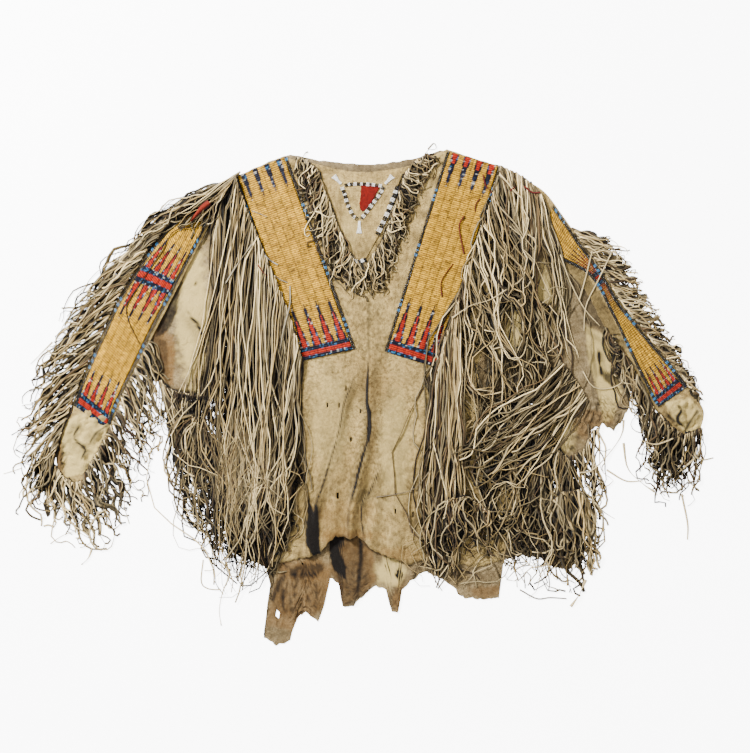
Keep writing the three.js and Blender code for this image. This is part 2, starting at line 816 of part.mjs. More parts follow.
const finish = (color, roughness) => ({ color, roughness, metalness: 0 });
const BUCKSKIN = finish(0xc2ad85, 0.92);
const OLD_BUCKSKIN = finish(0xa8946e, 0.95);
const THONG = finish(0xcbb991, 0.9);
const QUILL = finish(0xdda83f, 0.6);
const BEADS = finish(0x1e2240, 0.35);
const WHITE_BEADS = finish(0xf0ece0, 0.35);
const RED_CLOTH = finish(0xc0281c, 0.95);

const shirt = new THREE.Group();
shirt.position.set(-CENTRE.x, -CENTRE.y, 0);

/** Adds one named piece to the shirt. */
function piece(name, geometry, look) {
  const mesh = new THREE.Mesh(geometry, new THREE.MeshStandardMaterial(look));
  mesh.name = name;
  shirt.add(mesh);
  return mesh;
}

const rightForm = sleeveForm(RIGHT_SLEEVE_RUNGS);
const leftForm = sleeveForm(LEFT_SLEEVE_RUNGS);

const panels = [
  piece('back_hide', withHoles(panel(BACK_COLUMNS, 3, () => 0), BACK_HOLES), OLD_BUCKSKIN),
  piece('front_hide', withHoles(panel(FRONT_COLUMNS, 10, frontUnder, frontStep), FRONT_HOLES), BUCKSKIN),
  piece('sleeve_right', sleeve(rightForm), BUCKSKIN),
  piece('sleeve_left', sleeve(leftForm), BUCKSKIN),
  piece('underarm_flap_right', rightFlap(rightForm), OLD_BUCKSKIN),
  piece('underarm_flap_left', panel(LEFT_FLAP_COLUMNS, 6, leftFlapBase, () => 24), OLD_BUCKSKIN),
];

const ground = clothHeight(panels);
shirt.updateMatrixWorld(true);

/** Height of the cloth in the tables' coordinates, which the shirt's own offset moves. */
const groundAt = (x, y) => ground(x - CENTRE.x, y - CENTRE.y);

piece('neck_bib', bib(), BUCKSKIN);
piece('bib_inset', bibInset(), RED_CLOTH);
const { right: cornerRight, left: cornerLeft, bottom: cornerBottom } = BIB_TRIANGLE;
piece('bib_lane_right', bibLane(cornerRight, cornerBottom, 4.5), WHITE_BEADS);
piece('bib_lane_left', bibLane(cornerLeft, cornerBottom, 4.5), WHITE_BEADS);
piece('bib_lane_top', bibLane(cornerRight, cornerLeft, 8), WHITE_BEADS);
const onBib = (x, y) => bibTop(x, y) + SEAM;
for (const tab of BIB_TABS) {
  const route = [{ x: tab.x0, y: tab.y0 }, { x: tab.x1, y: tab.y1 }];
  piece(tab.name, ribbon(route, BIB_TAB_NARROW, BIB_TAB_WIDE, onBib, BEADWORK), WHITE_BEADS);
}
const bibEdge = BIB_ROWS.slice(1, 6).map((row) => ({ x: row.right - BIB_LANE / 2 - 1, y: row.y }));
piece('bib_lane_edge', ribbon(bibEdge, BIB_LANE, BIB_LANE, onBib, BEADWORK), WHITE_BEADS);

/** A strip with its lanes: quillwork between them, each a patch of the panel's own surface. */
function quilledStrip(name, surface, along, outer, inner, lanes) {
  const band = (from, to) => (s) => [from(s), to(s)];
  const start = lanes.includes('outer') ? LANE + SEAM : 0;
  const quills = band((s) => outer(s) + start, (s) => inner(s) - LANE - SEAM);
  piece(name, patch(surface, along, quills, SEAM, QUILLWORK), QUILL);
  const beads = {
    outer: band(outer, (s) => outer(s) + LANE),
    inner: band((s) => inner(s) - LANE, inner),
  };
  for (const side of lanes) {
    piece(`${name}_lane_${side}`, patch(surface, along, beads[side], SEAM, BEADWORK), BEADS);
  }
}

const rightShoulder = shoulderSurface(RIGHT_SHOULDER_STRIP);
const leftShoulder = shoulderSurface(LEFT_SHOULDER_STRIP);
const stripEdge = (value) => () => value;
const strips = [
  ['shoulder_strip_right', rightShoulder],
  ['shoulder_strip_left', leftShoulder],
];
for (const [name, surface] of strips) {
  quilledStrip(name, surface, steps(0, 1, 6), stripEdge(0), stripEdge(STRIP_WIDTH), ['outer', 'inner']);
}

/** A sleeve's strip: from near the fold to a margin short of the upper layer's open edge. */
function sleeveStrip(name, form, strip, lanes) {
  const inner = (s) => {
    const share = (s - strip.from) / (strip.to - strip.from);
    const rise = smoothstep(share, PINCH.start, PINCH.full);
    const fall = 1 - smoothstep(share, PINCH.ease, PINCH.end);
    return form.width(s) - FOLD_RADIUS - strip.edgeMargin - strip.pinch * rise * fall;
  };
  const along = rungsBetween(strip.from, strip.to);
  quilledStrip(name, form.surface, along, stripEdge(strip.outer), inner, lanes);
}
sleeveStrip('sleeve_strip_right', rightForm, RIGHT_SLEEVE_STRIP, ['outer', 'inner']);
sleeveStrip('sleeve_strip_left', leftForm, LEFT_SLEEVE_STRIP, ['inner']);

for (const tie of NECK_TIES) {
  const route = tie.route.map(([x, y]) => ({ x, y }));
  piece(tie.name, ribbon(route, TIE_WIDTH, TIE_WIDTH, () => FRONT_BASE + HIDE + SEAM, HIDE), THONG);
}

/** Fringe sewn along a stretch of a surface: its welt is a patch from d to d + width. */
function surfaceFringe(name, fringe, surface, along, from, width, lift, thickness) {
  const welt = patch(surface, along, (s) => [from(s), from(s) + width], lift, thickness);
  const rootAt = (share) => {
    const s = lerp(along[0], along[along.length - 1], share);
    return surface(s, from(s) + width / 2, lift + thickness / 2);
  };
  piece(name, fringeRow(fringe, welt, rootAt, groundAt), THONG);
}

/** Fringe sewn along a free route on the table or the cloth. */
function routeFringe(name, fringe, route, base) {
  const welt = ribbon(route, WELT_WIDTH, WELT_WIDTH, base, WELT_HEIGHT);
  const curve = new THREE.CurvePath();
  const corners = route.map((p) => new THREE.Vector3(p.x, p.y, 0));
  corners.slice(1).forEach((corner, k) => curve.add(new THREE.LineCurve3(corners[k], corner)));
  const rootAt = (share) => {
    const point = curve.getPoint(share);
    return point.setZ(base(point.x, point.y) + WELT_HEIGHT / 2);
  };
  piece(name, fringeRow(fringe, welt, rootAt, groundAt), THONG);
}

const outsideEdge = () => -SEAM - WELT_WIDTH;
const shoulderFringes = [
  ['fringe_shoulder_right', FRINGES.shoulderRight, rightShoulder],
  ['fringe_shoulder_left', FRINGES.shoulderLeft, leftShoulder],
];
for (const [name, fringe, surface] of shoulderFringes) {
  surfaceFringe(name, fringe, surface, steps(0.02, 0.98, 6), outsideEdge, WELT_WIDTH, SEAM, WELT_HEIGHT);
}

const sleeveFringes = [
  ['right', rightForm, FRINGES.outerRight, FRINGES.innerRight, 0.5, 12.5, 6.5, 12.5],
  ['left', leftForm, FRINGES.outerLeft, FRINGES.innerLeft, 2, 12.5, 7.5, 12.5],
];
const outermost = (-Math.PI / 2) * FOLD_RADIUS - 0.9;
for (const [side, form, outer, inner, outerFrom, outerTo, innerFrom, innerTo] of sleeveFringes) {
  const upperEdge = (s) => form.width(s) - FOLD_RADIUS + 2 * SEAM;
  surfaceFringe(`fringe_outer_${side}`, outer, form.surface,
    rungsBetween(outerFrom, outerTo), () => outermost, 1.8, 3 * SEAM, WELT_WIDTH);
  surfaceFringe(`fringe_inner_${side}`, inner, form.surface,
    rungsBetween(innerFrom, innerTo), upperEdge, WELT_WIDTH, -HIDE, HIDE);
}

const onTable = () => 0;
routeFringe('fringe_arm_right', FRINGES.armRight,
  [{ x: -250, y: 372 }, { x: -259, y: 344 }, { x: -268, y: 318 }], () => 2 * FOLD_RADIUS + SEAM);
routeFringe('fringe_arm_left', FRINGES.armLeft,
  [{ x: 294, y: 310 }, { x: 304, y: 340 }, { x: 312, y: 362 }], () => 2 * FOLD_RADIUS + SEAM);

const clearOfEdge = 3 * SEAM + WELT_WIDTH / 2;
const rightHem = steps(RIGHT_FLAP_FRINGE.from, RIGHT_FLAP_FRINGE.to, 10).map(rightFlapEdge);
routeFringe('fringe_side_right', FRINGES.sideRight, beside(rightHem, clearOfEdge), onTable);
const leftHem = LEFT_FLAP_COLUMNS.map((column) => ({ x: column.x, y: column.hem }));
const belowLeftFlap = Math.min(...leftHem.map((point) => point.y)) - WELT_WIDTH;
const besideLeftFlap = (x) => leftFlapBase(x, belowLeftFlap);
routeFringe('fringe_side_left', FRINGES.sideLeft, beside(leftHem, -clearOfEdge), besideLeftFlap);

/** The end of a sleeve's wall, from its fold to its open edge. */
function cuffRoute(form) {
  const end = [0, form.width(form.last)].map((d) => form.surface(form.last, d - FOLD_RADIUS, 0));
  return end.map((point) => ({ x: point.x, y: point.y }));
}
routeFringe('fringe_cuff_right', FRINGES.cuffRight, beside(cuffRoute(rightForm), -clearOfEdge), onTable);
routeFringe('fringe_cuff_left', FRINGES.cuffLeft, beside(cuffRoute(leftForm), clearOfEdge), onTable);

const bibOutline = [
  ...BIB_ROWS.map((row) => ({ x: row.left, y: row.y })),
  ...BIB_ROWS.map((row) => ({ x: row.right, y: row.y })).reverse(),
];
routeFringe('fringe_bib', FRINGES.bib, beside(bibOutline, -clearOfEdge), (x, y) => frontTop(x, y) + SEAM);

export default shirt;
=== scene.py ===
"""Buckskin war shirt, laid flat and face up: hides, quilled strips, bead lanes and long fringe.

Shapes are worked out in millimetres on the layout table of the shirt, where +X is the wearer's
left and +Y runs to the neck, and are moved into the frame when a mesh is made. Outlines that were
charted are given in squares of 1.8 mm, counted right and down from the chart's corner.
In the tables a point is written x,y and a semicolon ends a row.
"""

import logging
import math
from dataclasses import dataclass, field
from enum import Enum

import bpy
import numpy as np
from numpy.typing import ArrayLike, NDArray
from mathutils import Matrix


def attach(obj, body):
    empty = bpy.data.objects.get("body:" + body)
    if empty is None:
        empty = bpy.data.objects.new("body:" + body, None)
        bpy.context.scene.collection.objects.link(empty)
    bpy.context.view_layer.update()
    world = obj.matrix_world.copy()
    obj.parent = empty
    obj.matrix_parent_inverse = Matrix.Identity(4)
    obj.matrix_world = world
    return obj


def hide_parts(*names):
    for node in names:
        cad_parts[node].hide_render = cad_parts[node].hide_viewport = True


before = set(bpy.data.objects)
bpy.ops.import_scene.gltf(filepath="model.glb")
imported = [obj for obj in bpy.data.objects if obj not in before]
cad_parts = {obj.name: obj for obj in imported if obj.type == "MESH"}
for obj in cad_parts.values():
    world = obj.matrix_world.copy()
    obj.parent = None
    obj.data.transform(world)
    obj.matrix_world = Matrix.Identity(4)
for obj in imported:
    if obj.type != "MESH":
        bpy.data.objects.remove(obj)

Array = NDArray[np.float64]
Faces = NDArray[np.int64]
Chance = np.random.Generator
Material = bpy.types.Material
Object = bpy.types.Object
Socket = bpy.types.NodeSocket
log = logging.getLogger("war_shirt")

MM = 0.001
TABLE_TO_FRAME = np.array([-4.0, 3.0, 0.0])  # from the layout table to the frame
SQUARE = 1.8  # one square of the chart
CHART_MIDDLE = np.array([362.5, 393.5])
HIDE = 1.6  # wall of the tanned hide
FRONT_BASE = 2.0  # underside of the front
FOLD_RADIUS = 3.4  # outer radius of a sleeve's fold
UNDER_LAYER = 0.8  # width of a sleeve's under layer, as a share of the upper one
LANE = 5.5  # width of a bead lane
CHECK = 2.6  # length of a check of the quillwork, and of a row of a lane's beads
QUILL = 3.2  # width of a quill, as it is coloured
WRAP = 1.9  # length of a square of the quillwork's sheet, and of a splice
SEAM = 0.3  # between a bead lane and its quillwork
ARMPIT = -246.3  # the right edge of the body

# ------------------------------------------------------------------ numbers and curves


def numbers(text: str) -> Array:
    """Rows of numbers: blanks part the rows and commas the numbers."""
    return np.array([[float(value) for value in row.split(",")] for row in text.split()])


def table(text: str) -> list[tuple[list[str], Array]]:
    """Rows of a table, parted by semicolons: words, a colon, and rows of numbers."""
    rows = (row.split(":") for row in text.split(";") if ":" in row)
    return [(words.split(), numbers(points)) for words, points in rows]


def squares(points: ArrayLike) -> Array:
    """Turn chart squares into table millimetres, with y upwards."""
    return (np.asarray(points, dtype=float) - CHART_MIDDLE) * np.array([SQUARE, -SQUARE])


def chart(text: str) -> Array:
    """A charted route or outline, in table millimetres."""
    return squares(numbers(text))


def smooth(x: ArrayLike) -> Array:
    """The cubic step 3x^2 - 2x^3, held at 0 below 0 and at 1 above 1."""
    x = np.clip(x, 0.0, 1.0)
    return x * x * (3.0 - 2.0 * x)


def bell(x: Array) -> Array:
    """The bell exp(-x^2)."""
    return np.exp(-(x**2))


def scramble(x: Array, size: float = 43758.5453) -> Array:
    """A number from 0 to 1 that looks like chance: the late digits of a sine."""
    return np.abs(np.sin(x) * size) % 1


def linear(code: str) -> Array:
    """A colour written as six hex digits, as linear red, green and blue."""
    value = np.array([int(code[k : k + 2], 16) for k in (0, 2, 4)]) / 255.0
    return np.where(value <= 0.04045, value / 12.92, ((value + 0.055) / 1.055) ** 2.4)


def along(points: Array, share: Array) -> Array:
    """Places at given shares of a polyline's length, by straight runs between its points.

    Args:
        points: (k, d) corners.
        share: (n,) numbers from 0 to 1.
    Returns:
        (n, d) places.
    """
    run = np.r_[0.0, np.cumsum(np.linalg.norm(np.diff(points[:, :2], axis=0), axis=1))]
    run = run / run[-1]
    return np.stack([np.interp(share, run, points[:, d]) for d in range(points.shape[1])], axis=1)


def flowing(points: Array, share: Array) -> Array:
    """A Catmull-Rom curve through the points, equal shares between neighbours.

    Args:
        points: (k, d) places that the curve goes through.
        share: (n,) numbers from 0 to 1.
    Returns:
        (n, d) places on the curve.
    """
    ends = np.vstack([2 * points[0] - points[1], points, 2 * points[-1] - points[-2]])
    at = np.clip(share, 0.0, 1.0) * (len(points) - 1)
    k = np.minimum(at.astype(int), len(points) - 2)
    t = (at - k)[:, None]
    a, b, c, d = ends[k], ends[k + 1], ends[k + 2], ends[k + 3]
    return 0.5 * (2 * b + (c - a) * t + (2 * a - 5 * b + 4 * c - d) * t**2 + (3 * b - a - 3 * c + d) * t**3)


def between(a: Array, b: Array, count: int) -> Array:
    """Rows of points, straight from each place of a (n, d) to its partner in b."""
    mix = np.linspace(0, 1, count)[None, :, None]
    return a[:, None] * (1 - mix) + b[:, None] * mix


def ripple(x: Array, y: Array, scale: float, seed: int, octaves: int = 4) -> Array:
    """Smooth uneven relief between about -1 and 1: a sum of turned sine products, each a bit over
    half the size of the last and a bit over double its pitch.

    Args:
        x, y: places.
        scale: the longest wave, in millimetres.
        seed: which relief.
        octaves: how many sizes of wave.
    Returns:
        the relief, in the shape of x.
    """
    rng = np.random.default_rng(seed)
    out = np.zeros(np.broadcast(x, y).shape)
    size, pitch = 0.6, 2 * math.pi / scale
    for _ in range(octaves):
        turn, p, q = rng.uniform(0, 2 * math.pi, 3)
        u = x * math.cos(turn) + y * math.sin(turn)
        v = y * math.cos(turn) - x * math.sin(turn)
        bend = 0.6 * np.sin(v * pitch * 0.7 + p)
        out += size * np.sin(u * pitch + bend + p) * np.cos(v * pitch * 1.13 + bend + q)
        size, pitch = size * 0.55, pitch * 2.17
    return out


def to_route(x: Array, y: Array, route: Array) -> tuple[Array, Array]:
    """Signed distance to a polyline (left of its run is positive) and the share run along it.

    Args:
        x, y: places.
        route: (k, 2) corners.
    Returns:
        distance and share, in the shape of x.
    """
    best = np.full(x.shape, 1e9)
    side, share = np.zeros(x.shape), np.zeros(x.shape)
    steps = np.linalg.norm(np.diff(route, axis=0), axis=1)
    starts = np.r_[0.0, np.cumsum(steps)]
    for (ax, ay), (bx, by), length, start in zip(route[:-1], route[1:], steps, starts):
        ux, uy = (bx - ax) / length, (by - ay) / length
        t = np.clip((x - ax) * ux + (y - ay) * uy, 0.0, length)
        dx, dy = x - ax - t * ux, y - ay - t * uy
        off = np.hypot(dx, dy)
        near = off < best
        best = np.where(near, off, best)
        side = np.where(near, np.sign(ux * dy - uy * dx), side)
        share = np.where(near, (start + t) / starts[-1], share)
    return best * side, share


# ------------------------------------------------------------------ meshes


def grid_quads(rows: int, columns: int, loop: bool = False) -> Faces:
    """Quads of a grid of points stored row after row.

    Args:
        rows, columns: size of the grid.
        loop: joins the last column to the first.
    Returns:
        (n, 4) numbers of the points.
    """
    i = np.arange(rows - 1)[:, None]
    j = np.arange(columns if loop else columns - 1)[None, :]
    k = (j + 1) % columns
    corners = (i * columns + j, i * columns + k, (i + 1) * columns + k, (i + 1) * columns + j)
    return np.stack(np.broadcast_arrays(*corners)).reshape(4, -1).T


def repeated(quads: Faces, count: int, points: int) -> Faces:
    """The faces of count equal shapes of so many points each."""
    return (quads[None] + (np.arange(count) * points)[:, None, None]).reshape(-1, 4)


def link(name: str, data: bpy.types.ID) -> Object:
    """A new object of the scene.

    Args:
        name: its name.
        data: its mesh or light.
    Returns:
        the object.
    """
    obj = bpy.data.objects.new(name, data)
    bpy.context.scene.collection.objects.link(obj)
    return obj


def piece(name: str, points: Array, quads: Faces, finish: Material, layers: dict[str, Array],
          node: str = "", thick: float = 0.0) -> Object:
    """Make a mesh at the origin from table millimetres. A sheet is turned so that most of it faces
    up, and a closed shape so that it holds a positive volume.

    Args:
        name: the piece's name.
        points, quads: (n, 3) places and (m, 4) faces.
        finish: its material.
        layers: named values for each point: (n,) numbers or (n, 3) colours.
        node: the node that it stands for, if any.
        thick: a sheet's thickness, downwards from its points; 0 for closed shapes.
    Returns:
        the object, riding on the shirt.
    """
    a, b, c, d = (points[quads[:, k]] for k in range(4))
    normal = np.cross(c - a, d - b)
    turned = normal[:, 2].sum() if thick else np.einsum("ij,ij->", normal, (a + b + c + d) / 4)
    if turned < 0:
        quads = quads[:, ::-1]
    mesh = bpy.data.meshes.new(name)
    mesh.vertices.add(len(points))
    mesh.vertices.foreach_set("co", ((points + TABLE_TO_FRAME) * MM).astype(np.float32).ravel())
    mesh.loops.add(quads.size)
    mesh.loops.foreach_set("vertex_index", quads.astype(np.int32).ravel())
    mesh.polygons.add(len(quads))
    mesh.polygons.foreach_set("loop_start", np.arange(0, quads.size, 4, dtype=np.int32))
    mesh.polygons.foreach_set("loop_total", np.full(len(quads), 4, dtype=np.int32))
    mesh.update(calc_edges=True)
    mesh.polygons.foreach_set("use_smooth", np.ones(len(quads), dtype=bool))
    for label, values in layers.items():
        if values.ndim == 1:
            data, key = mesh.attributes.new(label, "FLOAT", "POINT").data, "value"
        else:
            data, key = mesh.attributes.new(label, "FLOAT_COLOR", "POINT").data, "color"
            values = np.concatenate([values, np.ones((len(values), 1))], axis=1)
        data.foreach_set(key, values.astype(np.float32).ravel())
    mesh.validate()
    mesh.materials.append(finish)
    obj = link(name, mesh)
    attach(obj, "root")
    if thick:
        wall = obj.modifiers.new("wall", "SOLIDIFY")
        wall.thickness, wall.offset = thick * MM, -1.0
    if node:
        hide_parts(node)
    log.info("%s: %d points, %d faces", name, len(points), len(quads))
    return obj


# ------------------------------------------------------------------ finishes


class Nodes:
    """A small builder of a material's nodes."""

    def __init__(self, name: str, roughness: float, sheen: float = 0.0, gloss: float = 0.5) -> None:
        """Start a Principled material with its constant values on the shader's own sockets.

        Args:
            name: the material's name.
            roughness, sheen, gloss: the shader's constants.
        """
        self.material = bpy.data.materials.new(name)
        self.material.use_nodes = True
        self.tree = self.material.node_tree
        self.shader = self.tree.nodes["Principled BSDF"]
        self.shader.inputs["Roughness"].default_value = roughness
        self.shader.inputs["Specular IOR Level"].default_value = gloss
        self.shader.inputs["Sheen Weight"].default_value = sheen
        self.shader.inputs["Sheen Roughness"].default_value = 0.6
        self.place = self.tree.nodes.new("ShaderNodeTexCoord").outputs["Object"]

    def add(self, kind: str, inputs: dict, **settings: str) -> bpy.types.Node:
        """Add a node.

        Args:
            kind: its type, without the prefix.
            inputs: by name or number: sockets are linked, numbers and colours are written.
            settings: its own options.
        Returns:
            the node.
        """
        node = self.tree.nodes.new(f"ShaderNode{kind}")
        for key, value in settings.items():
            setattr(node, key, value)
        for key, value in inputs.items():
            if isinstance(value, bpy.types.NodeSocket):
                self.tree.links.new(value, node.inputs[key])
            else:
                node.inputs[key].default_value = (*value, 1.0) if isinstance(value, np.ndarray) else value
        return node

    def noise(self, scale: float, detail: float = 4.0, rough: float = 0.6) -> Socket:
        """Noise over the object's own coordinates, scale in waves a metre."""
        inputs = {"Scale": scale, "Detail": detail, "Roughness": rough, "Vector": self.place}
        return self.add("TexNoise", inputs).outputs["Fac"]

    def layer(self, label: str, output: str = "Fac") -> Socket:
        """A named value kept on the mesh's points."""
        return self.add("Attribute", {}, attribute_name=label).outputs[output]

    def span(self, value: Socket, low: float, high: float, to: tuple[float, float] = (0, 1)) -> Socket:
        """Map a value from low..high to the given range, held at its ends."""
        inputs = {"From Min": low, "From Max": high, "To Min": to[0], "To Max": to[1], "Value": value}
        return self.add("MapRange", inputs).outputs["Result"]

    def mix(self, share: Socket | float, a: Socket | Array, b: Socket | Array, how: str = "MIX") -> Socket:
        """Blend two colours, each a socket or linear red, green and blue."""
        return self.add("Mix", {0: share, 6: a, 7: b}, data_type="RGBA", blend_type=how).outputs[2]

    def times(self, a: Socket, b: Socket) -> Socket:
        """Multiply two colours."""
        return self.mix(1.0, a, b, "MULTIPLY")

    def finish(self, colour: Socket, *relief: tuple[Socket, float]) -> Material:
        """Join the colour and a chain of bumps.

        Args:
            colour: the base colour.
            relief: a height and its depth in millimetres for each bump.
        Returns:
            the material.
        """
        self.tree.links.new(colour, self.shader.inputs["Base Color"])
        chain = {}
        for height, depth in relief:
            bump = self.add("Bump", {"Distance": depth * MM, "Strength": 1.0, "Height": height} | chain)
            chain = {"Normal": bump.outputs["Normal"]}
        for key, normal in chain.items():
            self.tree.links.new(normal, self.shader.inputs[key])
        return self.material


@dataclass(frozen=True)
class HideFinish:
    """Brain-tanned hide: cloudy cream to tan suede with soiling, painted shade, warm staining and a soft
    nap.
    """

    name: str
    light: str = "CBAE6C"
    mid: str = "A88C53"
    deep: str = "42331A"
    # near black: soiling, and painted shade in creases, gaps and under the fringe
    soil: str = "0D0804"
    warm: str = "6A4617"
    pale: str = "C8AF6C"

    def build(self) -> Material:
        """Mix the clouds by noise, and the staining and painted shade by the sheet's own layers.

        Returns:
            the material.
        """
        n = Nodes(self.name, roughness=0.95, sheen=0.06, gloss=0.12)
        colour = n.mix(n.span(n.noise(9.0, 5.0, 0.7), 0.36, 0.64), linear(self.mid), linear(self.light))
        wear_and_shade = n.span(n.noise(60.0), 0.3, 0.6, (0.88, 1.0))
        for share, over in (
            (n.span(n.noise(38.0, 8.0, 0.75), 0.45, 0.7, (0.0, 0.75)), self.deep),
            (n.span(n.noise(150.0, 6.0, 0.85), 0.42, 0.66, (0.0, 0.8)), self.deep),
            (n.layer("pale"), self.pale),
            (n.layer("warm"), self.warm),
            # the first layer here holds soiling and painted shade together
            (n.add("Math", {0: n.layer("soil"), 1: wear_and_shade}, operation="MULTIPLY").outputs[0], self.soil),
        ):
            colour = n.mix(share, colour, linear(over))
        return n.finish(colour, (n.noise(48.0, 6.0, 0.65), 4.5), (n.noise(420.0, 4.0, 0.7), 1.6))


@dataclass(frozen=True)
class ThongFinish:
    """Cut hide thongs: the colour of each is kept on its points, under a short nap."""

    name: str

    def build(self) -> Material:
        """Multiply each thong's own colour by two sizes of noise.

        Returns:
            the material.
        """
        n = Nodes(self.name, roughness=0.9, sheen=0.04, gloss=0.15)
        wear_and_shade = n.span(n.noise(60.0, 5.0, 0.7), 0.35, 0.7, (0.8, 1.12))
        fine = n.span(n.noise(500.0, 3.0, 0.7), 0.3, 0.7, (0.85, 1.1))
        return n.finish(n.times(n.times(n.layer("tone", "Color"), wear_and_shade), fine), (n.noise(700.0), 0.35))


@dataclass(frozen=True)
class QuillFinish:
    """Flattened dyed quills, laid side by side across each lane, with a dull gloss."""

    name: str
    pitch: float = 3.7

    def build(self) -> Material:
        """Shade each quill's edge by a wave along the strip, broken by noise.

        Returns:
            the material.
        """
        n = Nodes(self.name, roughness=0.6, gloss=0.15)
        inputs = {"Scale": 2 * math.pi / (20.0 * self.pitch), "Distortion": 0.6, "Detail": 1.0,
                  "Vector": n.layer("lay", "Vector")}
        ridge = n.add("TexWave", inputs, wave_type="BANDS", bands_direction="X").outputs["Fac"]
        wear_and_shade = n.span(n.noise(70.0, 6.0, 0.75), 0.34, 0.66, (0.8, 1.35))
        fleck = n.span(n.noise(260.0, 6.0, 0.9), 0.47, 0.64, (1.08, 0.2))
        colour = n.times(n.times(n.layer("tone", "Color"), wear_and_shade), fleck)
        colour = n.times(colour, n.span(ridge, 0.0, 0.55, (0.3, 1.12)))
        return n.finish(colour, (ridge, 0.5), (n.noise(300.0), 0.4))


@dataclass(frozen=True)
class BeadFinish:
    """Small glass beads, each with its own colour."""

    name: str

    def build(self) -> Material:
        """The bead's colour, clouded a little, under a bright gloss.

        Returns:
            the material.
        """
        n = Nodes(self.name, roughness=0.28)
        n.shader.inputs["Coat Weight"].default_value = 0.3
        cloud = n.span(n.noise(400.0, 2.0), 0.3, 0.7, (0.85, 1.1))
        return n.finish(n.times(n.layer("tone", "Color"), cloud), (n.noise(900.0), 0.1))


@dataclass(frozen=True)
class ClothFinish:
    """Fulled wool trade cloth: a fuzzy nap over a faint weave."""

    name: str

    def build(self) -> Material:
        """Dye clouds and pills by noise, with a faint sheen.

        Returns:
            the material.
        """
        n = Nodes(self.name, roughness=0.95, sheen=0.08, gloss=0.1)
        colour = n.mix(n.span(n.noise(220.0, 6.0, 0.75), 0.3, 0.72), linear("3E0702"), linear("7C1003"))
        return n.finish(colour, (n.noise(1500.0, 3.0), 0.4), (n.noise(200.0), 0.6))


@dataclass(frozen=True)
class FloorFinish:
    """The pale table that the shirt lies on."""

    name: str

    def build(self) -> Material:
        """Almost white, with the faintest cloud.

        Returns:
            the material.
        """
        n = Nodes(self.name, roughness=0.9)
        n.shader.inputs["Emission Color"].default_value = (1.0, 1.0, 1.0, 1.0)
        n.shader.inputs["Emission Strength"].default_value = 7.0
        return n.finish(n.mix(n.span(n.noise(1.5, 2.0), 0.3, 0.7), linear("FCFCFC"), linear("FFFFFF")))


# ------------------------------------------------------------------ the height of what lies already


@dataclass
class Pile:
    """The height of everything laid so far, in millimetres over the table, cell by cell."""

    cell: float = 3.0
    low: tuple[float, float] = (-720.0, -540.0)
    size: tuple[int, int] = (480, 350)
    ceiling: float = 23.0
    height: Array = field(init=False)
    evened: Array = field(init=False)

    def __post_init__(self) -> None:
        """Start with the bare table."""
        self.height = np.zeros(self.size)
        self.evened = self.height

    def lay(self, points: Array) -> None:
        """Raise the map to loose points, those outside it at its edge.

        Args:
            points: (n, 3) points.
        """
        i = np.clip(((points[:, 0] - self.low[0]) / self.cell).astype(int), 0, self.size[0] - 1)
        j = np.clip(((points[:, 1] - self.low[1]) / self.cell).astype(int), 0, self.size[1] - 1)
        np.maximum.at(self.height, (i, j), points[:, 2])

    def lay_sheet(self, grid: Array) -> None:
        """Raise the map to a sheet, with two more points on each side of its squares.

        Args:
            grid: (m, n, 3) points of the sheet's upper face.
        """
        for axis in (0, 1):
            a = np.moveaxis(grid, axis, 0)
            parts = [a[:-1] + (a[1:] - a[:-1]) * t for t in (0.0, 1 / 3, 2 / 3)]
            a = np.concatenate([np.stack(parts, 1).reshape(-1, *a.shape[1:]), a[-1:]])
            grid = np.moveaxis(a, 0, axis)
        self.lay(grid.reshape(-1, 3))

    def lay_routes(self, route: Array, lift: float) -> None:
        """Raise the map to routes, with three more points between neighbours.

        Args:
            route: (n, m, 3) places.
            lift: how far the upper side lies over them.
        """
        a, b = route[:, :-1], route[:, 1:]
        fine = np.concatenate([a + (b - a) * t for t in (0.0, 0.25, 0.5, 0.75)], axis=1).reshape(-1, 3)
        self.lay(fine + np.array([0.0, 0.0, lift]))

    def even_out(self) -> None:
        """Keep a copy of the heights, averaged with their neighbours twice."""
        self.evened, (m, n) = self.height, self.size
        for _ in range(2):
            wide = np.pad(self.evened, 1, mode="edge")
            self.evened = sum(wide[i : i + m, j : j + n] for i in range(3) for j in range(3)) / 9

    def depth(self, x: Array, y: Array, z: Array) -> Array:
        """How far places lie under the evened surface of the finished pile, in millimetres."""
        return np.maximum(self._between(self.evened, x, y) - z, 0.0)

    def _between(self, values: Array, x: Array, y: Array) -> Array:
        """Values straight between the middles of the cells.

        Args:
            values: one for each cell.
            x, y: places.
        Returns:
            the values there.
        """
        u = np.clip((x - self.low[0]) / self.cell - 0.5, 0, self.size[0] - 1.001)
        v = np.clip((y - self.low[1]) / self.cell - 0.5, 0, self.size[1] - 1.001)
        i, j = u.astype(int), v.astype(int)
        s, t = u - i, v - j
        near = values[i, j] * (1 - t) + values[i, j + 1] * t
        far = values[i + 1, j] * (1 - t) + values[i + 1, j + 1] * t
        return near * (1 - s) + far * s

    def drape(self, x: Array, y: Array, reach: int = 2) -> Array:
        """Heights of routes laid over the pile: the highest of the near places on the route, then
        evened out along it.

        Args:
            x, y: (n, m) places of n routes.
            reach: how many steps to each side count.
        Returns:
            (n, m) heights.
        """
        z = self._between(self.height, x, y)
        for pick in (np.max, np.mean, np.mean):
            wide = np.pad(z, ((0, 0), (reach, reach)), mode="edge")
            z = pick([wide[:, k : k + z.shape[1]] for k in range(2 * reach + 1)], axis=0)
        return np.minimum(z, self.ceiling)


# ------------------------------------------------------------------ hides


@dataclass(frozen=True)
class Crease:
    """A fold pressed into a hide: a route with its height, its two slopes and the strength of the shade
    painted in its trough.
    """

    route: Array
    height: float
    left: float
    right: float
    # strength of the shade painted in the trough
    crease_shade: float


class Tint(Enum):
    """The layers that colour a hide: staining, and in the first one painted shade as well."""

    # soiling, and painted shade in creases, gaps and under the fringe
    SOIL = "soil"
    WARM = "warm"
    PALE = "pale"


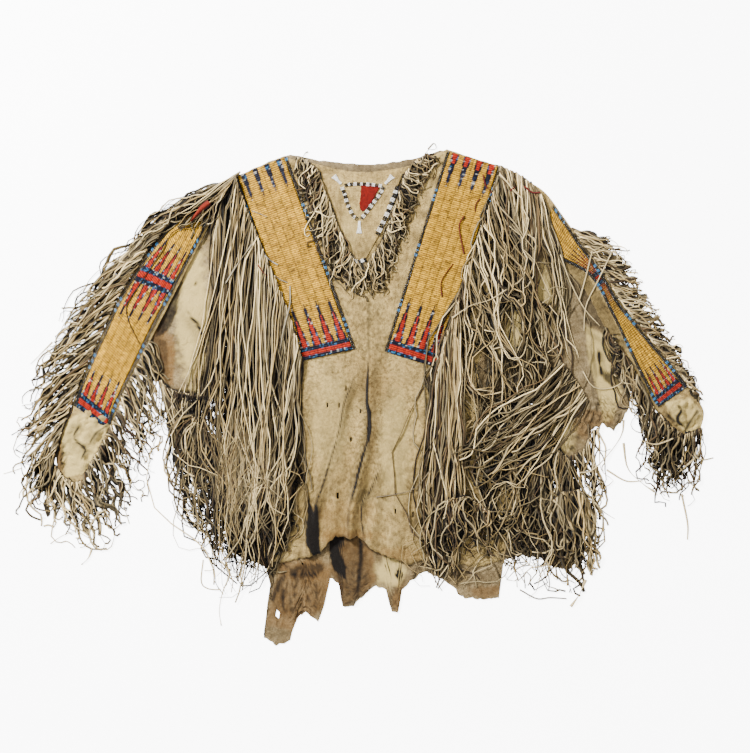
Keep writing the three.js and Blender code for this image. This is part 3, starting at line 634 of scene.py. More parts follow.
@dataclass(frozen=True)
class Oval:
    """An oval by its middle, in chart squares, and its half sizes, in squares too."""

    u: float
    v: float
    wide: float
    tall: float

    def away(self, x: Array, y: Array) -> Array:
        """Distance from the middle, 1 at the rim."""
        cx, cy = squares((self.u, self.v))
        return np.hypot((x - cx) / (self.wide * SQUARE), (y - cy) / (self.tall * SQUARE))


@dataclass(frozen=True)
class TintPatch:
    """A patch of one tint, for staining and for painted shade: a charted outline whose edge is soft
    over a few millimetres, or, where the softness is 0, an oval by its middle and its half sizes."""

    tint: Tint
    amount: float
    soft: float
    area: Array

    def strength(self, x: Array, y: Array, edge: Array, seed: int) -> Array:
        """Its strength at places: by the oval, broken by an uneven edge, or by the distance to the
        outline, counted up inside it.

        Args:
            x, y: places.
            edge: unevenness of an oval's rim.
            seed: of an outline's own unevenness.
        Returns:
            the strength, up to the amount.
        """
        if not self.soft:
            return self.amount * smooth((1.25 - (Oval(*self.area.ravel()).away(x, y) + edge)) / 0.6)
        ring = squares(self.area)
        ring = np.vstack([ring, ring[:1]])
        within = np.zeros(x.shape, dtype=bool)
        for (ax, ay), (bx, by) in zip(ring[:-1], ring[1:]):
            cut = ax + (y - ay) * (bx - ax) / (by - ay + 1e-9)
            within ^= ((ay > y) != (by > y)) & (x < cut)
        off = np.abs(to_route(x, y, ring)[0])
        signed = np.where(within, off, -off) + 1.4 * ripple(x, y, 16.0, seed)
        return self.amount * smooth(signed / self.soft + 0.5)


@dataclass(frozen=True)
class Crumple(Oval):
    """A patch where a hide is crushed into small sharp ridges."""

    height: float
    scale: float
    # strength of the shade painted in its creases
    crease_shade: float
    hollow: float = 0.28  # width of the painted shade in the creases


@dataclass
class Hide:
    """A hide with its cut, in metres, what is pressed into it, and the staining and painted shade on it."""

    name: str
    flat: tuple[float, float]
    area: float
    seed: int
    creases: str = ""  # rows of height, left slope, right slope and painted shade: charted route
    tint_patches: str = ""  # rows of tint, amount and softness: outline; staining and painted shade
    crumples: str = ""
    old: bool = False
    held: str = "laid"
    rests_on: tuple[str, ...] = ()

    def press(self, x: Array, y: Array) -> tuple[Array, Array]:
        """Its relief. A crease is a bell over the distance to its route, with its own width on each
        side, fading in and out along it, with painted shade in the trough on its right and a fainter
        band of painted shade further out on that side. A crumple is made of facets parted by creases,
        which run where uneven relief crosses zero and hold painted shade.

        Args:
            x, y: places.
        Returns:
            height in millimetres and painted shade from 0 to 1.
        """
        height, crease_shade = np.zeros(x.shape), np.zeros(x.shape)
        for sizes, route in table(self.creases):
            crease = Crease(squares(route), *map(float, sizes))
            route, slope = crease.route, crease.right
            side, share = to_route(x, y, flowing(route, np.linspace(0, 1, 4 * len(route))))
            fade = smooth(np.minimum(share, 1 - share) * 5 + 0.15)
            height = height + crease.height * fade * bell(side / np.where(side > 0, crease.left, slope))
            # painted shade: a dark line in the trough, and a fainter, wider band further out on the right
            gape = 0.35 + 0.55 * np.abs(np.sin(5.2 * share + route[0, 0]))
            trough = bell((side + slope * 0.5) / (slope * gape))
            trough = np.maximum(trough, 0.34 * bell((side + 2.4 * slope) / (1.9 * slope)))
            crease_shade = np.maximum(crease_shade, crease.crease_shade * fade * trough)
        crushed, crumple_shade = np.zeros(x.shape), np.zeros(x.shape)
        for number, patch in enumerate(Crumple(*row) for row in numbers(self.crumples)):
            fade = smooth((1.2 - patch.away(x, y)) / 0.5)
            wave = np.abs(ripple(x, y, patch.scale, self.seed + 17 * number, 3))
            crushed = np.maximum(crushed, patch.height * fade * np.minimum(wave / 0.6, 1.0))
            # painted shade in the crumple's creases
            crumple_shade = np.maximum(crumple_shade, patch.crease_shade * fade * bell(wave / patch.hollow))
        return height + crushed, np.maximum(crease_shade, crumple_shade)

    def make(self, grid: Array, crease_shade: Array, finish: Material, pile: Pile, dropped: list[int]) -> Object:
        """Lay the sheet on the pile, paint its staining and shade, and make its mesh.

        Args:
            grid: (m, n, 3) points of its upper face.
            crease_shade: (m, n) painted shade of its creases.
            finish: the hide's material.
            pile: the heights laid so far.
            dropped: squares of the grid that are left out.
        Returns:
            the sheet.
        """
        pile.lay_sheet(grid)
        x, y = grid[..., 0], grid[..., 1]
        layers = {tint.value: np.zeros(x.shape) for tint in Tint}
        edge = 0.35 * ripple(x, y, 40.0, self.seed)
        # patches of staining, and of painted shade in gaps, along creases and in a hole
        for (tint, amount, soft), area in table(self.tint_patches):
            tint_patch = TintPatch(Tint(tint), float(amount), float(soft), area)
            key = tint_patch.tint.value
            layers[key] = np.maximum(layers[key], tint_patch.strength(x, y, edge, self.seed))
        # the creases' painted shade goes into the first layer
        layers["soil"] = np.maximum(layers["soil"], crease_shade)
        flat = {key: values.ravel() for key, values in layers.items()}
        quads = np.delete(grid_quads(*x.shape), dropped, axis=0)
        obj = piece(self.name, grid.reshape(-1, 3), quads, finish, flat, self.name.lower(), HIDE)
        return obj


class SurfaceRule:
    """How high the underside of a panel lies over the table."""

    def __call__(self, x: Array, y: Array) -> Array:
        """The back lies on the table.

        Args:
            x, y: places.
        Returns:
            heights in millimetres.
        """
        return np.zeros(np.broadcast(x, y).shape)


class FrontRule(SurfaceRule):
    """The front lies on the back, with long ridges pressed into its lower half."""

    folds = numbers("-58,40,-92,-290,6,11 -14,44,-58,-262,9,14 16,40,-24,-262,14,12 44,-50,14,-280,12,12"
                    " 62,20,52,-296,7,16")  # from, to, height and width

    def __call__(self, x: Array, y: Array) -> Array:
        """Bells over the distance to each ridge's line, growing along it up to nine tenths.

        Args, Returns: as for SurfaceRule.
        """
        z = np.full(np.broadcast(x, y).shape, FRONT_BASE)
        for x0, y0, x1, y1, height, width in self.folds:
            length = math.hypot(x1 - x0, y1 - y0)
            ux, uy = (x1 - x0) / length, (y1 - y0) / length
            run = ((x - x0) * ux + (y - y0) * uy) / length
            aside = (x - x0) * uy - (y - y0) * ux
            z = z + 0.8 * height * bell(aside / width) * smooth(run / 0.9)
        return z


class LapRule(SurfaceRule):
    """The left underarm flap laps over the front and runs in over the sleeve's under layer."""

    def __call__(self, x: Array, y: Array) -> Array:
        """The higher of a step up beside the front and a step up beside the sleeve.

        Args, Returns: as for SurfaceRule.
        """
        over_front = (FRONT_BASE + HIDE + 0.3) * smooth((330 - x) / 34)
        top = np.interp(x, LEFT_FLAP_COLUMNS[:, 0], LEFT_FLAP_COLUMNS[:, 1])
        over_sleeve = (HIDE + 0.3) * smooth((y - top + 70) / 40)
        return np.maximum(over_front, over_sleeve)


@dataclass
class Panel(Hide):
    """A hide cut as columns (x, top, hem), with holes that wear has made through it."""

    columns: Array = field(kw_only=True)
    base: SurfaceRule = field(default_factory=SurfaceRule)
    holes: Array = field(default_factory=lambda: np.zeros((0, 4)))  # chart place, width and height in mm
    step: float = 4.2
    stretch: float = 1.0  # height of a square over its width
    low_detail: float = 1.0  # above 1, squares are taller at the top and lower at the hem
    ragged: float = 2.0
    lean: float = 0.0  # how far the top of the leg tab leans inwards
    swell: float = 1.0

    def plan(self) -> tuple[Array, Array]:
        """The plan grid: columns about a step apart, each cut into equal rows, its two ends moved
        a little by uneven relief so that the edge is ragged.

        Returns:
            the places x and y.
        """
        x0, top, hem = self.columns.T
        counts = np.maximum(np.ceil(np.diff(x0) / self.step).astype(int), 1)
        runs = [np.linspace(a, b, n, endpoint=False) for a, b, n in zip(x0[:-1], x0[1:], counts)]
        x = np.r_[np.concatenate(runs), x0[-1]]
        tops = np.interp(x, x0, top) + 0.3 * self.ragged * ripple(x, 0 * x, 26.0, self.seed + 5)
        hems = np.interp(x, x0, hem) + self.ragged * ripple(x, 0 * x + 9, 19.0, self.seed + 9)
        rows = int(np.ceil((tops - hems).max() / (self.step * self.stretch)))
        v = 1 - (1 - np.linspace(0, 1, rows + 1)[None, :]) ** self.low_detail
        y = tops[:, None] * (1 - v) + hems[:, None] * v
        x = x[:, None]
        lean = self.lean * smooth((-290 - y) / 20) * (1 - smooth((-310 - y) / 130)) * smooth((-96 - x) / 30)
        return x + lean, y

    def open_holes(self, x: Array, y: Array) -> tuple[Array, Array, list[int]]:
        """Push the plan outwards around each hole, and find the square that each one opens.

        Args:
            x, y: (m, n) places.
        Returns:
            the moved places and the numbers of the squares to leave out.
        """
        dropped, reach = [], 3.2  # of the push, in half sizes of the hole
        for u, v, wide, tall in self.holes:
            cx, cy = squares((u, v))
            mx, my = ((a[:-1, :-1] + a[1:, :-1] + a[:-1, 1:] + a[1:, 1:]) / 4 for a in (x, y))
            i, j = np.unravel_index(np.argmin(np.hypot(mx - cx, my - cy)), mx.shape)
            cx, cy = mx[i, j], my[i, j]
            away = np.maximum(np.hypot((x - cx) / (wide / 2), (y - cy) / (tall / 2)), 1e-6)
            push = np.where(away < reach, 1.0 + away * (reach - 1.0) / reach, away)
            x = np.where(away < reach, cx + (x - cx) * push / away, x)
            y = np.where(away < reach, cy + (y - cy) * push / away, y)
            dropped.append(int(i * mx.shape[1] + j))
        return x, y, dropped

    def build(self, finish: Material, pile: Pile) -> Object:
        """Lift the plan by the base rule, the creases and a slow swell, and lay it on the pile.

        Args:
            finish: the hide's material.
            pile: the heights laid so far.
        Returns:
            the sheet.
        """
        x, y, dropped = self.open_holes(*self.plan())
        height, crease_shade = self.press(x, y)
        slow, quick = ripple(x, y, 120.0, self.seed), ripple(x, y, 38.0, self.seed + 3)
        swell = self.swell * (1 + slow) / 2 + 0.25 * self.swell * (1 + quick)
        z = self.base(x, y) + height + np.maximum(swell, 0) + HIDE
        return self.make(np.stack([x, y, z], axis=2), crease_shade, finish, pile, dropped)


@dataclass
class Sleeve(Hide):
    """A sleeve folded along its outer edge: rungs run from the fold to the open edge."""

    rungs: Array = field(kw_only=True)
    held: str = "folded"

    @property
    def last(self) -> float:
        """The number of the last rung."""
        return float(len(self.rungs) - 1)

    def ends(self, s: Array) -> tuple[Array, Array]:
        """Places of the fold and of the open edge at rung numbers s."""
        both = flowing(self.rungs, np.clip(s / self.last, 0, 1))
        return both[:, :2], both[:, 2:]

    def width(self, s: Array) -> Array:
        """Distance from the fold to the open edge."""
        fold, free = self.ends(s)
        return np.linalg.norm(free - fold, axis=1)

    def surface(self, s: Array, d: Array) -> Array:
        """Points of the sleeve's outside: d runs inwards from where the flat upper layer starts,
        and below zero round the fold, half a turn of the fold's radius, and on under.

        Args:
            s: (n,) rung numbers.
            d: (n,) distances.
        Returns:
            (n, 3) points.
        """
        fold, free = self.ends(s)
        across = (free - fold) / np.linalg.norm(free - fold, axis=1)[:, None]
        turn = np.clip(-d / FOLD_RADIUS, 0, math.pi)
        flat = np.maximum(d, 0) + np.maximum(-d - math.pi * FOLD_RADIUS, 0)
        inward = FOLD_RADIUS - FOLD_RADIUS * np.sin(turn) + flat
        return np.column_stack([fold + across * inward[:, None], FOLD_RADIUS + FOLD_RADIUS * np.cos(turn)])

    def build(self, finish: Material, pile: Pile) -> Object:
        """Carry the folded section along the rungs, with creases on its upper layer only.

        Args, Returns: as for Panel.build.
        """
        s = np.linspace(0, self.last, int(self.last * 14) + 1)
        width, half_turn = self.width(s)[:, None], math.pi * FOLD_RADIUS
        upper = np.linspace(1, 0, 28)[None, :] * (width - FOLD_RADIUS)
        bend = np.repeat(np.linspace(0, -half_turn, 6)[None, 1:], len(s), 0)
        under = -half_turn - np.linspace(0, 1, 7)[None, 1:] * (UNDER_LAYER * width - FOLD_RADIUS)
        d = np.concatenate([upper, bend, under], axis=1)
        points = self.surface(np.repeat(s, d.shape[1]), d.ravel()).reshape(*d.shape, 3)
        x, y = points[..., 0], points[..., 1]
        height, crease_shade = self.press(x, y)
        swell = 0.9 * (1 + ripple(x, y, 60.0, self.seed))
        on_top = smooth(d / 8.0)
        points[..., 2] += on_top * (height + 0.6 * swell)
        edge = np.clip(1 - np.abs(d - upper.max(axis=1)[:, None]) / 4, 0, 1)
        points[..., :2] += (edge * ripple(x, y, 22.0, self.seed + 2))[..., None] * 1.2
        return self.make(points, crease_shade * on_top, finish, pile, [])


@dataclass
class RightFlap(Hide):
    """The right underarm flap: straight rows from the sleeve's under layer to its free edge."""

    sleeve: Sleeve = field(kw_only=True)

    def build(self, finish: Material, pile: Pile) -> Object:
        """Stretch rows between the seam and the free edge, and press creases in.

        Args, Returns: as for Panel.build.
        """
        k, number = np.linspace(0, 1, 100), np.arange(len(RIGHT_FLAP))
        rule = flowing(RIGHT_FLAP, k)
        s = np.interp(k * number[-1], number, RIGHT_FLAP[:, 0])
        under = UNDER_LAYER * self.sleeve.width(s) - FOLD_RADIUS
        seam = self.sleeve.surface(s, -math.pi * FOLD_RADIUS - under - 0.9)[:, :2]
        free = np.column_stack([np.minimum(rule[:, 1], ARMPIT), rule[:, 2]])
        free[:, 1] += 3.0 * smooth((k - 0.5) / 0.1) * ripple(k * 400, 0 * k, 14.0, self.seed)
        grid = between(seam, free, 44)
        x, y = grid[..., 0], grid[..., 1]
        height, crease_shade = self.press(x, y)
        z = HIDE + height + 0.7 * (1 + ripple(x, y, 70.0, self.seed))
        return self.make(np.dstack([x, y, z]), crease_shade, finish, pile, [])


# Hides as columns (x, top, hem), sleeves as rungs (the fold, then the open edge), the right flap as the
# sleeve's rung with x and y of its free edge, and the bib as rows (y, left, right). Then what marks them.
BACK_COLUMNS = numbers("""
    -246,379,-264 -228,391,-292 -202,403,-310 -181,412,-321 -177,414,-440 -156,423,-454 -130,431,-446
    -122,429,-404 -104,426,-393 -80,420,-411 -71,420,-390 -58,418,-334 -44,417,-341 -35,415,-382
    -19,415,-384 -1,413,-368 21,413,-346 42,415,-354 53,417,-395 64,418,-393 71,420,-354 86,422,-339
    112,428,-321 140,438,-332 168,434,-354 177,432,-366 212,420,-372 246,411,-368 255,408,-300
    290.2,388,-292 292,-120,-292 320,-150,-298 342,-172,-312 370,-174,-318 397,-190,-300
""")
FRONT_COLUMNS = numbers("""
    -246,377,-264 -220,394,-292 -181,410,-303 -143,426,-305 -112,418,-296 -91,415,-292 -76,411,-287
    -62,408,-269 -48,404,-258 -33,402,-258 -22,400,-262 -10,399,-256 3,399,-266 17,399,-280 40,402,-292
    68,406,-302 82,410,-310 100,415,-303 122,426,-296 152,440,-300 202,423,-314 248,408,-300 290,388,-262
""")
LEFT_FLAP_COLUMNS = numbers("""
    208,51,-22 224,96,-19 238,132,-30 256,168,4 284,204,10 288.5,210,2 290.2,296,-2 306,279,-22 320,260,-48
    338,250,-84 364,234,-118 384,216,-122 399,199,-105 413,180,-66 435,138,-57 453,101,-66 471,72,-44
    482,54,-21
""")
RIGHT_SLEEVE = numbers("""
    -246.3,381,-246.3,323 -280,363,-271,309 -314,336,-291,273 -350,302,-314,228 -386,258,-336,184
    -417,212,-357,143 -444,165,-379,100 -465,118,-400,55 -487,71,-422,10 -508,21,-442,-35 -523,-19,-453,-69
    -541,-66,-467,-105 -552,-112,-490,-145 -544,-156,-508,-163
""")
LEFT_SLEEVE = numbers("""
    290.3,387,290.3,300 328,363,306,284 361,320,326,255 392,276,354,231 420,238,383,206 444,202,407,176
    465,165,427,136 494,129,451,95 525,91,476,57 555,57,501,17 577,28,519,-19 597,-1,533,-36 615,-33,545,-60
    608,-69,577,-83
""")
RIGHT_FLAP = numbers("""
    0.4,-246.3,318 1.2,-246.3,282 2.2,-246.3,240 3.2,-246.3,186 4.2,-248,118 5,-254,58 5.6,-263,4 6,-284,-8
    6.3,-303,-2 6.6,-322,-9 6.9,-343,0 7.3,-366,24
""")
BIB_ROWS = numbers("""
    238,-13,0 246,-20,8 262,-27,17 290,-38,32 320,-50,44 350,-61,56 376,-71,65 396,-78,73
""")
FRONT_HOLES = numbers("""
    347,387,3.4,5 327,405,3.4,4 339,405,3.4,4 351,438,3.2,4 360,411,3.2,4 338,495,3.6,9 396,511,3.2,4
    412,514,3.4,6
""")
FRONT_CREASES = """
    7.5 10 3.4 1.1: 356,366 353,384 345,404 340,430 332,458 322.7,489 315.5,508 313.5,530;
    9 12 3.8 1.4: 371,345 369,372 368,402 371.5,428 367,447 360.7,471 354.2,493 348,514;
    7.5 8 3.4 1.2: 383,464 372.7,488 363.4,502 362.5,519 365.3,540;
    3.2 8 6 0.7: 371,296 370,330 369.5,356;
    3 9 8 0.45: 381,296 380,340 376,389 377,420;
    3.2 6 4 0.7: 350,505 349.6,524 349.6,541;
    5 9 5 0.8: 304,366 303,400 305,440 307,500 307,530 310,566;
    2.6 10 12 0.2: 400,440 404,480 402,520 398,548;
    2.4 8 9 0.2: 330,400 322,430 316,462;
    2.6 14 12 0.25: 392,372 396,420 392,470 384,520;
    4 9 6 0.8: 424,464 419,500 417,548;
    2.4 8 7 0.3: 345,440 336,470 332,500;
    1.6 6 6 0.2: 344,366 338,384 330,392;
    2.4 9 6 0.35: 384,430 378,452 370,468;
    2 6 5 0.3: 409,548 412,540 410,520
"""
BACK_CREASES = """
    2.2 5 4 0.35: 278,560 276,590 272,622;
    1.8 4 4 0.3: 290,560 292,590 288,622;
    2 4 3 0.6: 291,566 307,563 323,568;
    1.8 5 4 0.4: 345,575 352,590 356,600;
    2 4 4 0.35: 470,560 474,580 480,594;
    1.2 4 4 0.3: 382,560 396,553 410,560
"""
RIGHT_FLAP_CREASES = """
    5 6 5 1.2: 186,306 192,316 200,326 207,345 208,366 208,388;
    3 4 4 0.6: 160,345 166,365 164,386;
    3 4 4 0.7: 154,330 158,350 156,372;
    1.6 8 8 0.25: 180,260 176,290 172,320;
    1.5 3 3 0.4: 176,386 190,389 205,393
"""
RIGHT_CUFF_CREASES = """
    4 5 5 1.2: 75,411 65,421 60,443 60,471;
    4 5 5 1.1: 84,423 76,437 87,449 81,463;
    3.5 5 5 1: 112,424 98,434 90,446;
    4 5 5 1.2: 50,440 46,452 52,464;
    1.2 3 3 0.2: 148,300 136,330 122,364
"""
LEFT_CUFF_CREASES = """
    4 5 5 1.2: 676,402 682,410 678,420 688,428;
    4 5 5 1: 700,408 692,420 684,434;
    3.5 5 5 1: 664,408 672,418 684,424
"""
LEFT_FLAP_CREASES = """
    2.5 5 7 0.5: 560,262 572,300 590,330 612,345;
    4.5 6 6 0.7: 548,280 552,330 560,380 566,430;
    3.5 5 5 1.2: 600,348 601,362 604,378;
    3.5 5 5 0.7: 585,340 592,366 596,410;
    3 6 6 0.6: 520,310 524,350 528,390;
    3 6 6 0.6: 500,340 498,370 494,400;
    3 6 6 0.6: 536,300 542,330 546,370
"""
# some of the darkest rows here are painted shade: the dark gap beside the front's left edge and the dark
# lines along its creases
FRONT_TINTS = """
    soil 1.15 6: 307,478 309,498 313,510 319,500 320,545 323,561 316,563 306,545 305,534 307,515;
    soil 0.5 9: 353,384 357,388 346,424 338,452 330,464 337,430 346,400;
    soil 1.2 4: 366,398 372,412 370,440 362,462 352,500 350,508 357,470 366,440 367,420;
    soil 0.6 7: 384,470 378,482 366,505 363,520 364,535 360,520 364,500 374,484;
    warm 0.55 0: 345,536 34,7;
    warm 0.45 0: 400,556 30,8;
    warm 0.22 0: 372,420 5,45;
    pale 0.4 0: 395,450 16,60;
    pale 0.35 0: 330,420 20,50;
    warm 0.15 0: 375,380 14,30;
    soil 0.4 0: 346,543 30,3;
    soil 0.45 0: 404,563 24,3;
    warm 0.3 0: 345,515 40,14
"""
# some of the darkest rows here are painted shade: the dark folds of the leg tab, and a hole drawn dark as if
# in shadow
BACK_TINTS = """
    soil 1.2 5: 328,535 345,535 344,546 339,550 343,558 346,569 347,582 342,578 334,571 330,560;
    soil 1 4.5: 358,530 364,545 363,563 360,590 355,600 356,584 358,560;
    warm 0.5 6: 340,530 370,530 374,560 376,580 364,594 346,606 338,598 336,580 330,572;
    soil 0.5 0: 352,575 20,36;
    soil 0.8 3: 282,566 300,566 322,562 324,570 306,572 290,572;
    soil 0.9 3: 288,574 280,588 273,604 270,600 276,584 284,572;
    soil 1.2 0: 385.5,566 1.1,1.1;
    soil 1.2 0: 388,566 1.1,1.1;
    soil 1.2 0: 395,566 1.3,1.3;
    soil 1.2 0: 390.6,572 1.3,1.3;
    warm 0.6 0: 308,570 18,12;
    soil 0.5 0: 307,570 17,5;
    pale 0.9 0: 390,572 15,15;
    soil 2 0: 399,575 3.4,4.2;
    soil 1 0: 307,575 20,2.4;
    soil 0.9 0: 283,597 2,12;
    warm 0.5 8: 280,560 332,564 330,600 300,632 266,626 272,596;
    warm 0.5 0: 400,600 9,14;
    warm 0.45 0: 486,592 20,6
"""
# some of the darkest rows here are painted shade: the dark gap beside the strip's border and at the flap's
# edges
RIGHT_FLAP_TINTS = """
    pale 0.85 0: 192,310 16,80;
    warm 0.6 0: 160,350 8,44;
    soil 0.5 0: 157,352 6,36;
    soil 1 0: 198.5,276 1.2,1.2;
    soil 1 0: 195,284 1.2,1.2;
    soil 0.5 0: 213,330 3,80;
    soil 0.92 4: 190,258 184,278 179,296 177,312 171,326 163,335 155,338 158,322 168,300 178,276;
    soil 0.6 5: 156,338 166,340 168,352 166,384 157,384 146,368 150,352;
    warm 0.6 5: 158,338 173,334 175,352 173,385 160,384;
    soil 0.8 2.5: 206,340 210,356 210,386 207,392 207,362
"""
RIGHT_CUFF_TINTS = """
    warm 0.75 4: 58,424 62,446 62,474 50,466 38,440 48,426;
    soil 0.6 0: 54,466 8,12;
    pale 1 4: 80,412 110,424 98,448 84,474 66,476 62,440 68,422
"""
# the darkest row here is painted shade: the dark gap along the strip's inner border
LEFT_CUFF_TINTS = """
    soil 0.6 3.5: 556,250 574,262 588,276 600,294 611,314 620,332 628,348 616,348 590,310 560,280 552,262;
    pale 1 4: 664,402 690,398 704,414 702,430 690,436 676,424
"""
# the first dark row here is painted shade: the dark gap along the strip's inner border
LEFT_FLAP_TINTS = """
    soil 0.66 3.5: 560,255 588,270 613,308 620,333 613,340 604,330 586,324 580,306 570,282;
    soil 0.9 3: 604,372 616,372 622,384 612,386 604,380;
    pale 0.85 3.5: 586,326 603,334 618,340 616,372 622,392 612,420 604,424 598,392 588,360;
    warm 0.4 3.5: 574,404 592,410 612,412 614,424 598,428 586,440 572,430;
    pale 0.7 0: 512,325 24,34;
    pale 0.7 0: 546,300 14,34;
    pale 0.7 0: 560,436 16,20;
    soil 0.9 0: 572,448 3,3
"""
BIB_TINTS = """
    pale 0.3 0: 352,225 10,20;
    soil 0.25 0: 360,250 14,10
"""
BACK_CRUMPLES = """
    300,596,24,26,4,24,0.75 274,606,13,30,2.5,26,0.35 352,585,20,26,3.5,24,0.8 396,600,10,16,2.5,20,0.5
    483,575,24,30,1.5,34,0.25 420,570,12,12,2,22,0.4
"""
LEFT_FLAP_CRUMPLES = """
    600,420,24,26,4,24,0.7 560,440,20,24,3.5,26,0.5 505,395,30,18,3.5,26,0.5 615,350,8,24,3.5,18,0.7
"""


# ------------------------------------------------------------------ quillwork and beads


class Ink(Enum):
    """The dyes and glass colours of the quillwork and beads."""

    GOLD = "C4931F"
    OLD_GOLD = "946B17"
    NAVY = "070A1C"
    SKY = "3478A8"
    GREY_BLUE = "1A2236"
    RED = "9A1E03"
    WHITE = "F2EEE4"
    BLACK = "070709"

    @property
    def rgb(self) -> Array:
        """Linear red, green and blue."""
        return linear(self.value)


def painted(tone: Array, where: Array, colour: Array) -> Array:
    """The colours (n, 3), replaced by one or by others where a condition (n,) holds."""
    return np.where(where[:, None], colour, tone)


@dataclass(frozen=True)
class Spikes:
    """A row of slim triangles between gold teeth, from their bases to their tips, as shares of the
    strip's length."""

    base: float
    tip: float
    core: float = 0.66  # how far the red core runs up, or 0 for none
    wide: float = 0.33  # half of a base's width, as a share of the spacing
    white: float = 0.1  # share of white checks
    tip_ink: Ink = Ink.NAVY
    count: int = 4

    def paint(self, tone: Array, f: Array, c: Array, mm: Array, rng: Chance) -> Array:
        """Paint over the gold: checks of navy and white on the flanks, red in the core.

        Args:
            tone: (n, 3) colours so far.
            f, c: (n,) shares along the strip and across it.
            mm: (n,) distance along it.
            rng: for the odd check lost to wear.
        Returns:
            the colours.
        """
        p = (f - self.base) / (self.tip - self.base)
        lane = c * self.count
        number = np.floor(lane)
        u = np.abs(lane - number - 0.5)
        half = self.wide * (1 - p) + 0.05
        inside = (p >= 0) & (p <= 1) & (u < half)
        check = np.floor(mm / CHECK) * 31.0 + number * 17.0 + (lane - number > 0.5) * 57.0
        pick = scramble(check * 12.9898)
        flank = painted(Ink.NAVY.rgb, pick < self.white, Ink.WHITE.rgb * 0.35)
        flank = painted(flank, pick > 0.9, Ink.SKY.rgb * 0.5)
        flank = painted(flank, (p > 0.45) & (pick > 0.6), self.tip_ink.rgb)
        core = inside & (p < self.core) & (u < half * (0.62 - 0.45 * p)) & (rng.random(len(p)) > 0.03)
        return painted(painted(tone, inside, flank), core, Ink.RED.rgb)


@dataclass(frozen=True)
class Band:
    """A straight cross-band, as shares of the strip's length: plain red or a navy and sky mottle."""

    start: float
    end: float
    plain: bool = False

    def paint(self, tone: Array, f: Array, c: Array, mm: Array, _: Chance) -> Array:
        """Paint the band, in small cells picked by a scrambled number.

        Args, Returns: as for Spikes.paint.
        """
        pick = scramble(np.floor(mm / CHECK) * 57.0 + np.floor(c * 30) * 131.0, 43758.5)
        ink = painted(Ink.NAVY.rgb, pick < 0.2, Ink.SKY.rgb * 0.5)
        ink = painted(ink, pick > 0.965, Ink.WHITE.rgb * 0.4)
        return painted(tone, (f >= self.start) & (f < self.end), Ink.RED.rgb if self.plain else ink)


def bead_rows(name: str, node: str, at: Array, across: Array, tone: Array, finish: Material,
              seed: int, size: float = 1.05) -> None:
    """Barrel beads: three rings of six points about each bead's own axis, narrow at its two ends.

    Args:
        name, node: what the piece is and stands for.
        at, across, tone: (n, 3) middles, directions along the lane, and colours.
        finish: the beads' material.
        seed: for the small unevenness of the stitching.
        size: radius of a bead, in millimetres.
    """
    rng = np.random.default_rng(seed + 900)
    n = len(at)
    along_lane = across / np.maximum(np.linalg.norm(across, axis=1), 1e-9)[:, None]
    axis = np.cross(along_lane, [0.0, 0.0, 1.0])
    axis /= np.linalg.norm(axis, axis=1)[:, None]
    up = np.cross(axis, along_lane)
    at = at + rng.normal(0, 0.10, (n, 3))
    radii, places = np.array([0.66, 1.0, 0.66]) * size, np.array([-0.85, 0.0, 0.85])
    turn = (np.arange(6) * math.pi / 3)[None, None, :, None]
    ring = np.cos(turn) * along_lane[:, None, None, :] + np.sin(turn) * up[:, None, None, :]
    points = at[:, None, None] + axis[:, None, None] * places[None, :, None, None]
    points = points + ring * radii[None, :, None, None]
    caps = [[0, 3, 2, 1], [0, 5, 4, 3], [12, 13, 14, 15], [12, 15, 16, 17]]
    quads = repeated(np.vstack([grid_quads(3, 6, loop=True), caps]), n, 18)
    shade = np.repeat(tone * rng.uniform(0.85, 1.08, (n, 1)), 18, axis=0)
    piece(name, points.reshape(-1, 3), quads, finish, {"tone": shade}, node)


@dataclass
class ShoulderSurface:
    """A shoulder strip on the front: straight between its four corners, outer edge first."""

    corners: Array  # outer top, outer hem, inner top, inner hem
    rule: FrontRule
    width: float = 102.6

    @property
    def length(self) -> float:
        """Length of its outer edge."""
        return float(np.linalg.norm(self.corners[1] - self.corners[0]))

    def inner(self, f: Array) -> Array:
        """d of its inner side: it is equally wide from end to end."""
        return np.full(len(f), self.width)

    def at(self, f: Array, d: Array, h: Array) -> Array:
        """Go down the outer edge by share f, across by d, and rest on the front with height h.

        Args:
            f, d, h: (n,) shares of the length, distances across and heights.
        Returns:
            (n, 3) points.
        """
        outer = self.corners[0] + (self.corners[1] - self.corners[0]) * f[:, None]
        inner = self.corners[2] + (self.corners[3] - self.corners[2]) * f[:, None]
        across = (inner - outer) / np.linalg.norm(inner - outer, axis=1)[:, None]
        x, y = (outer + across * d[:, None]).T
        lift = 0.8 * (1 + ripple(x, y, 150.0, 77))
        return np.column_stack([x, y, self.rule(x, y) + HIDE + 0.6 + lift + h])


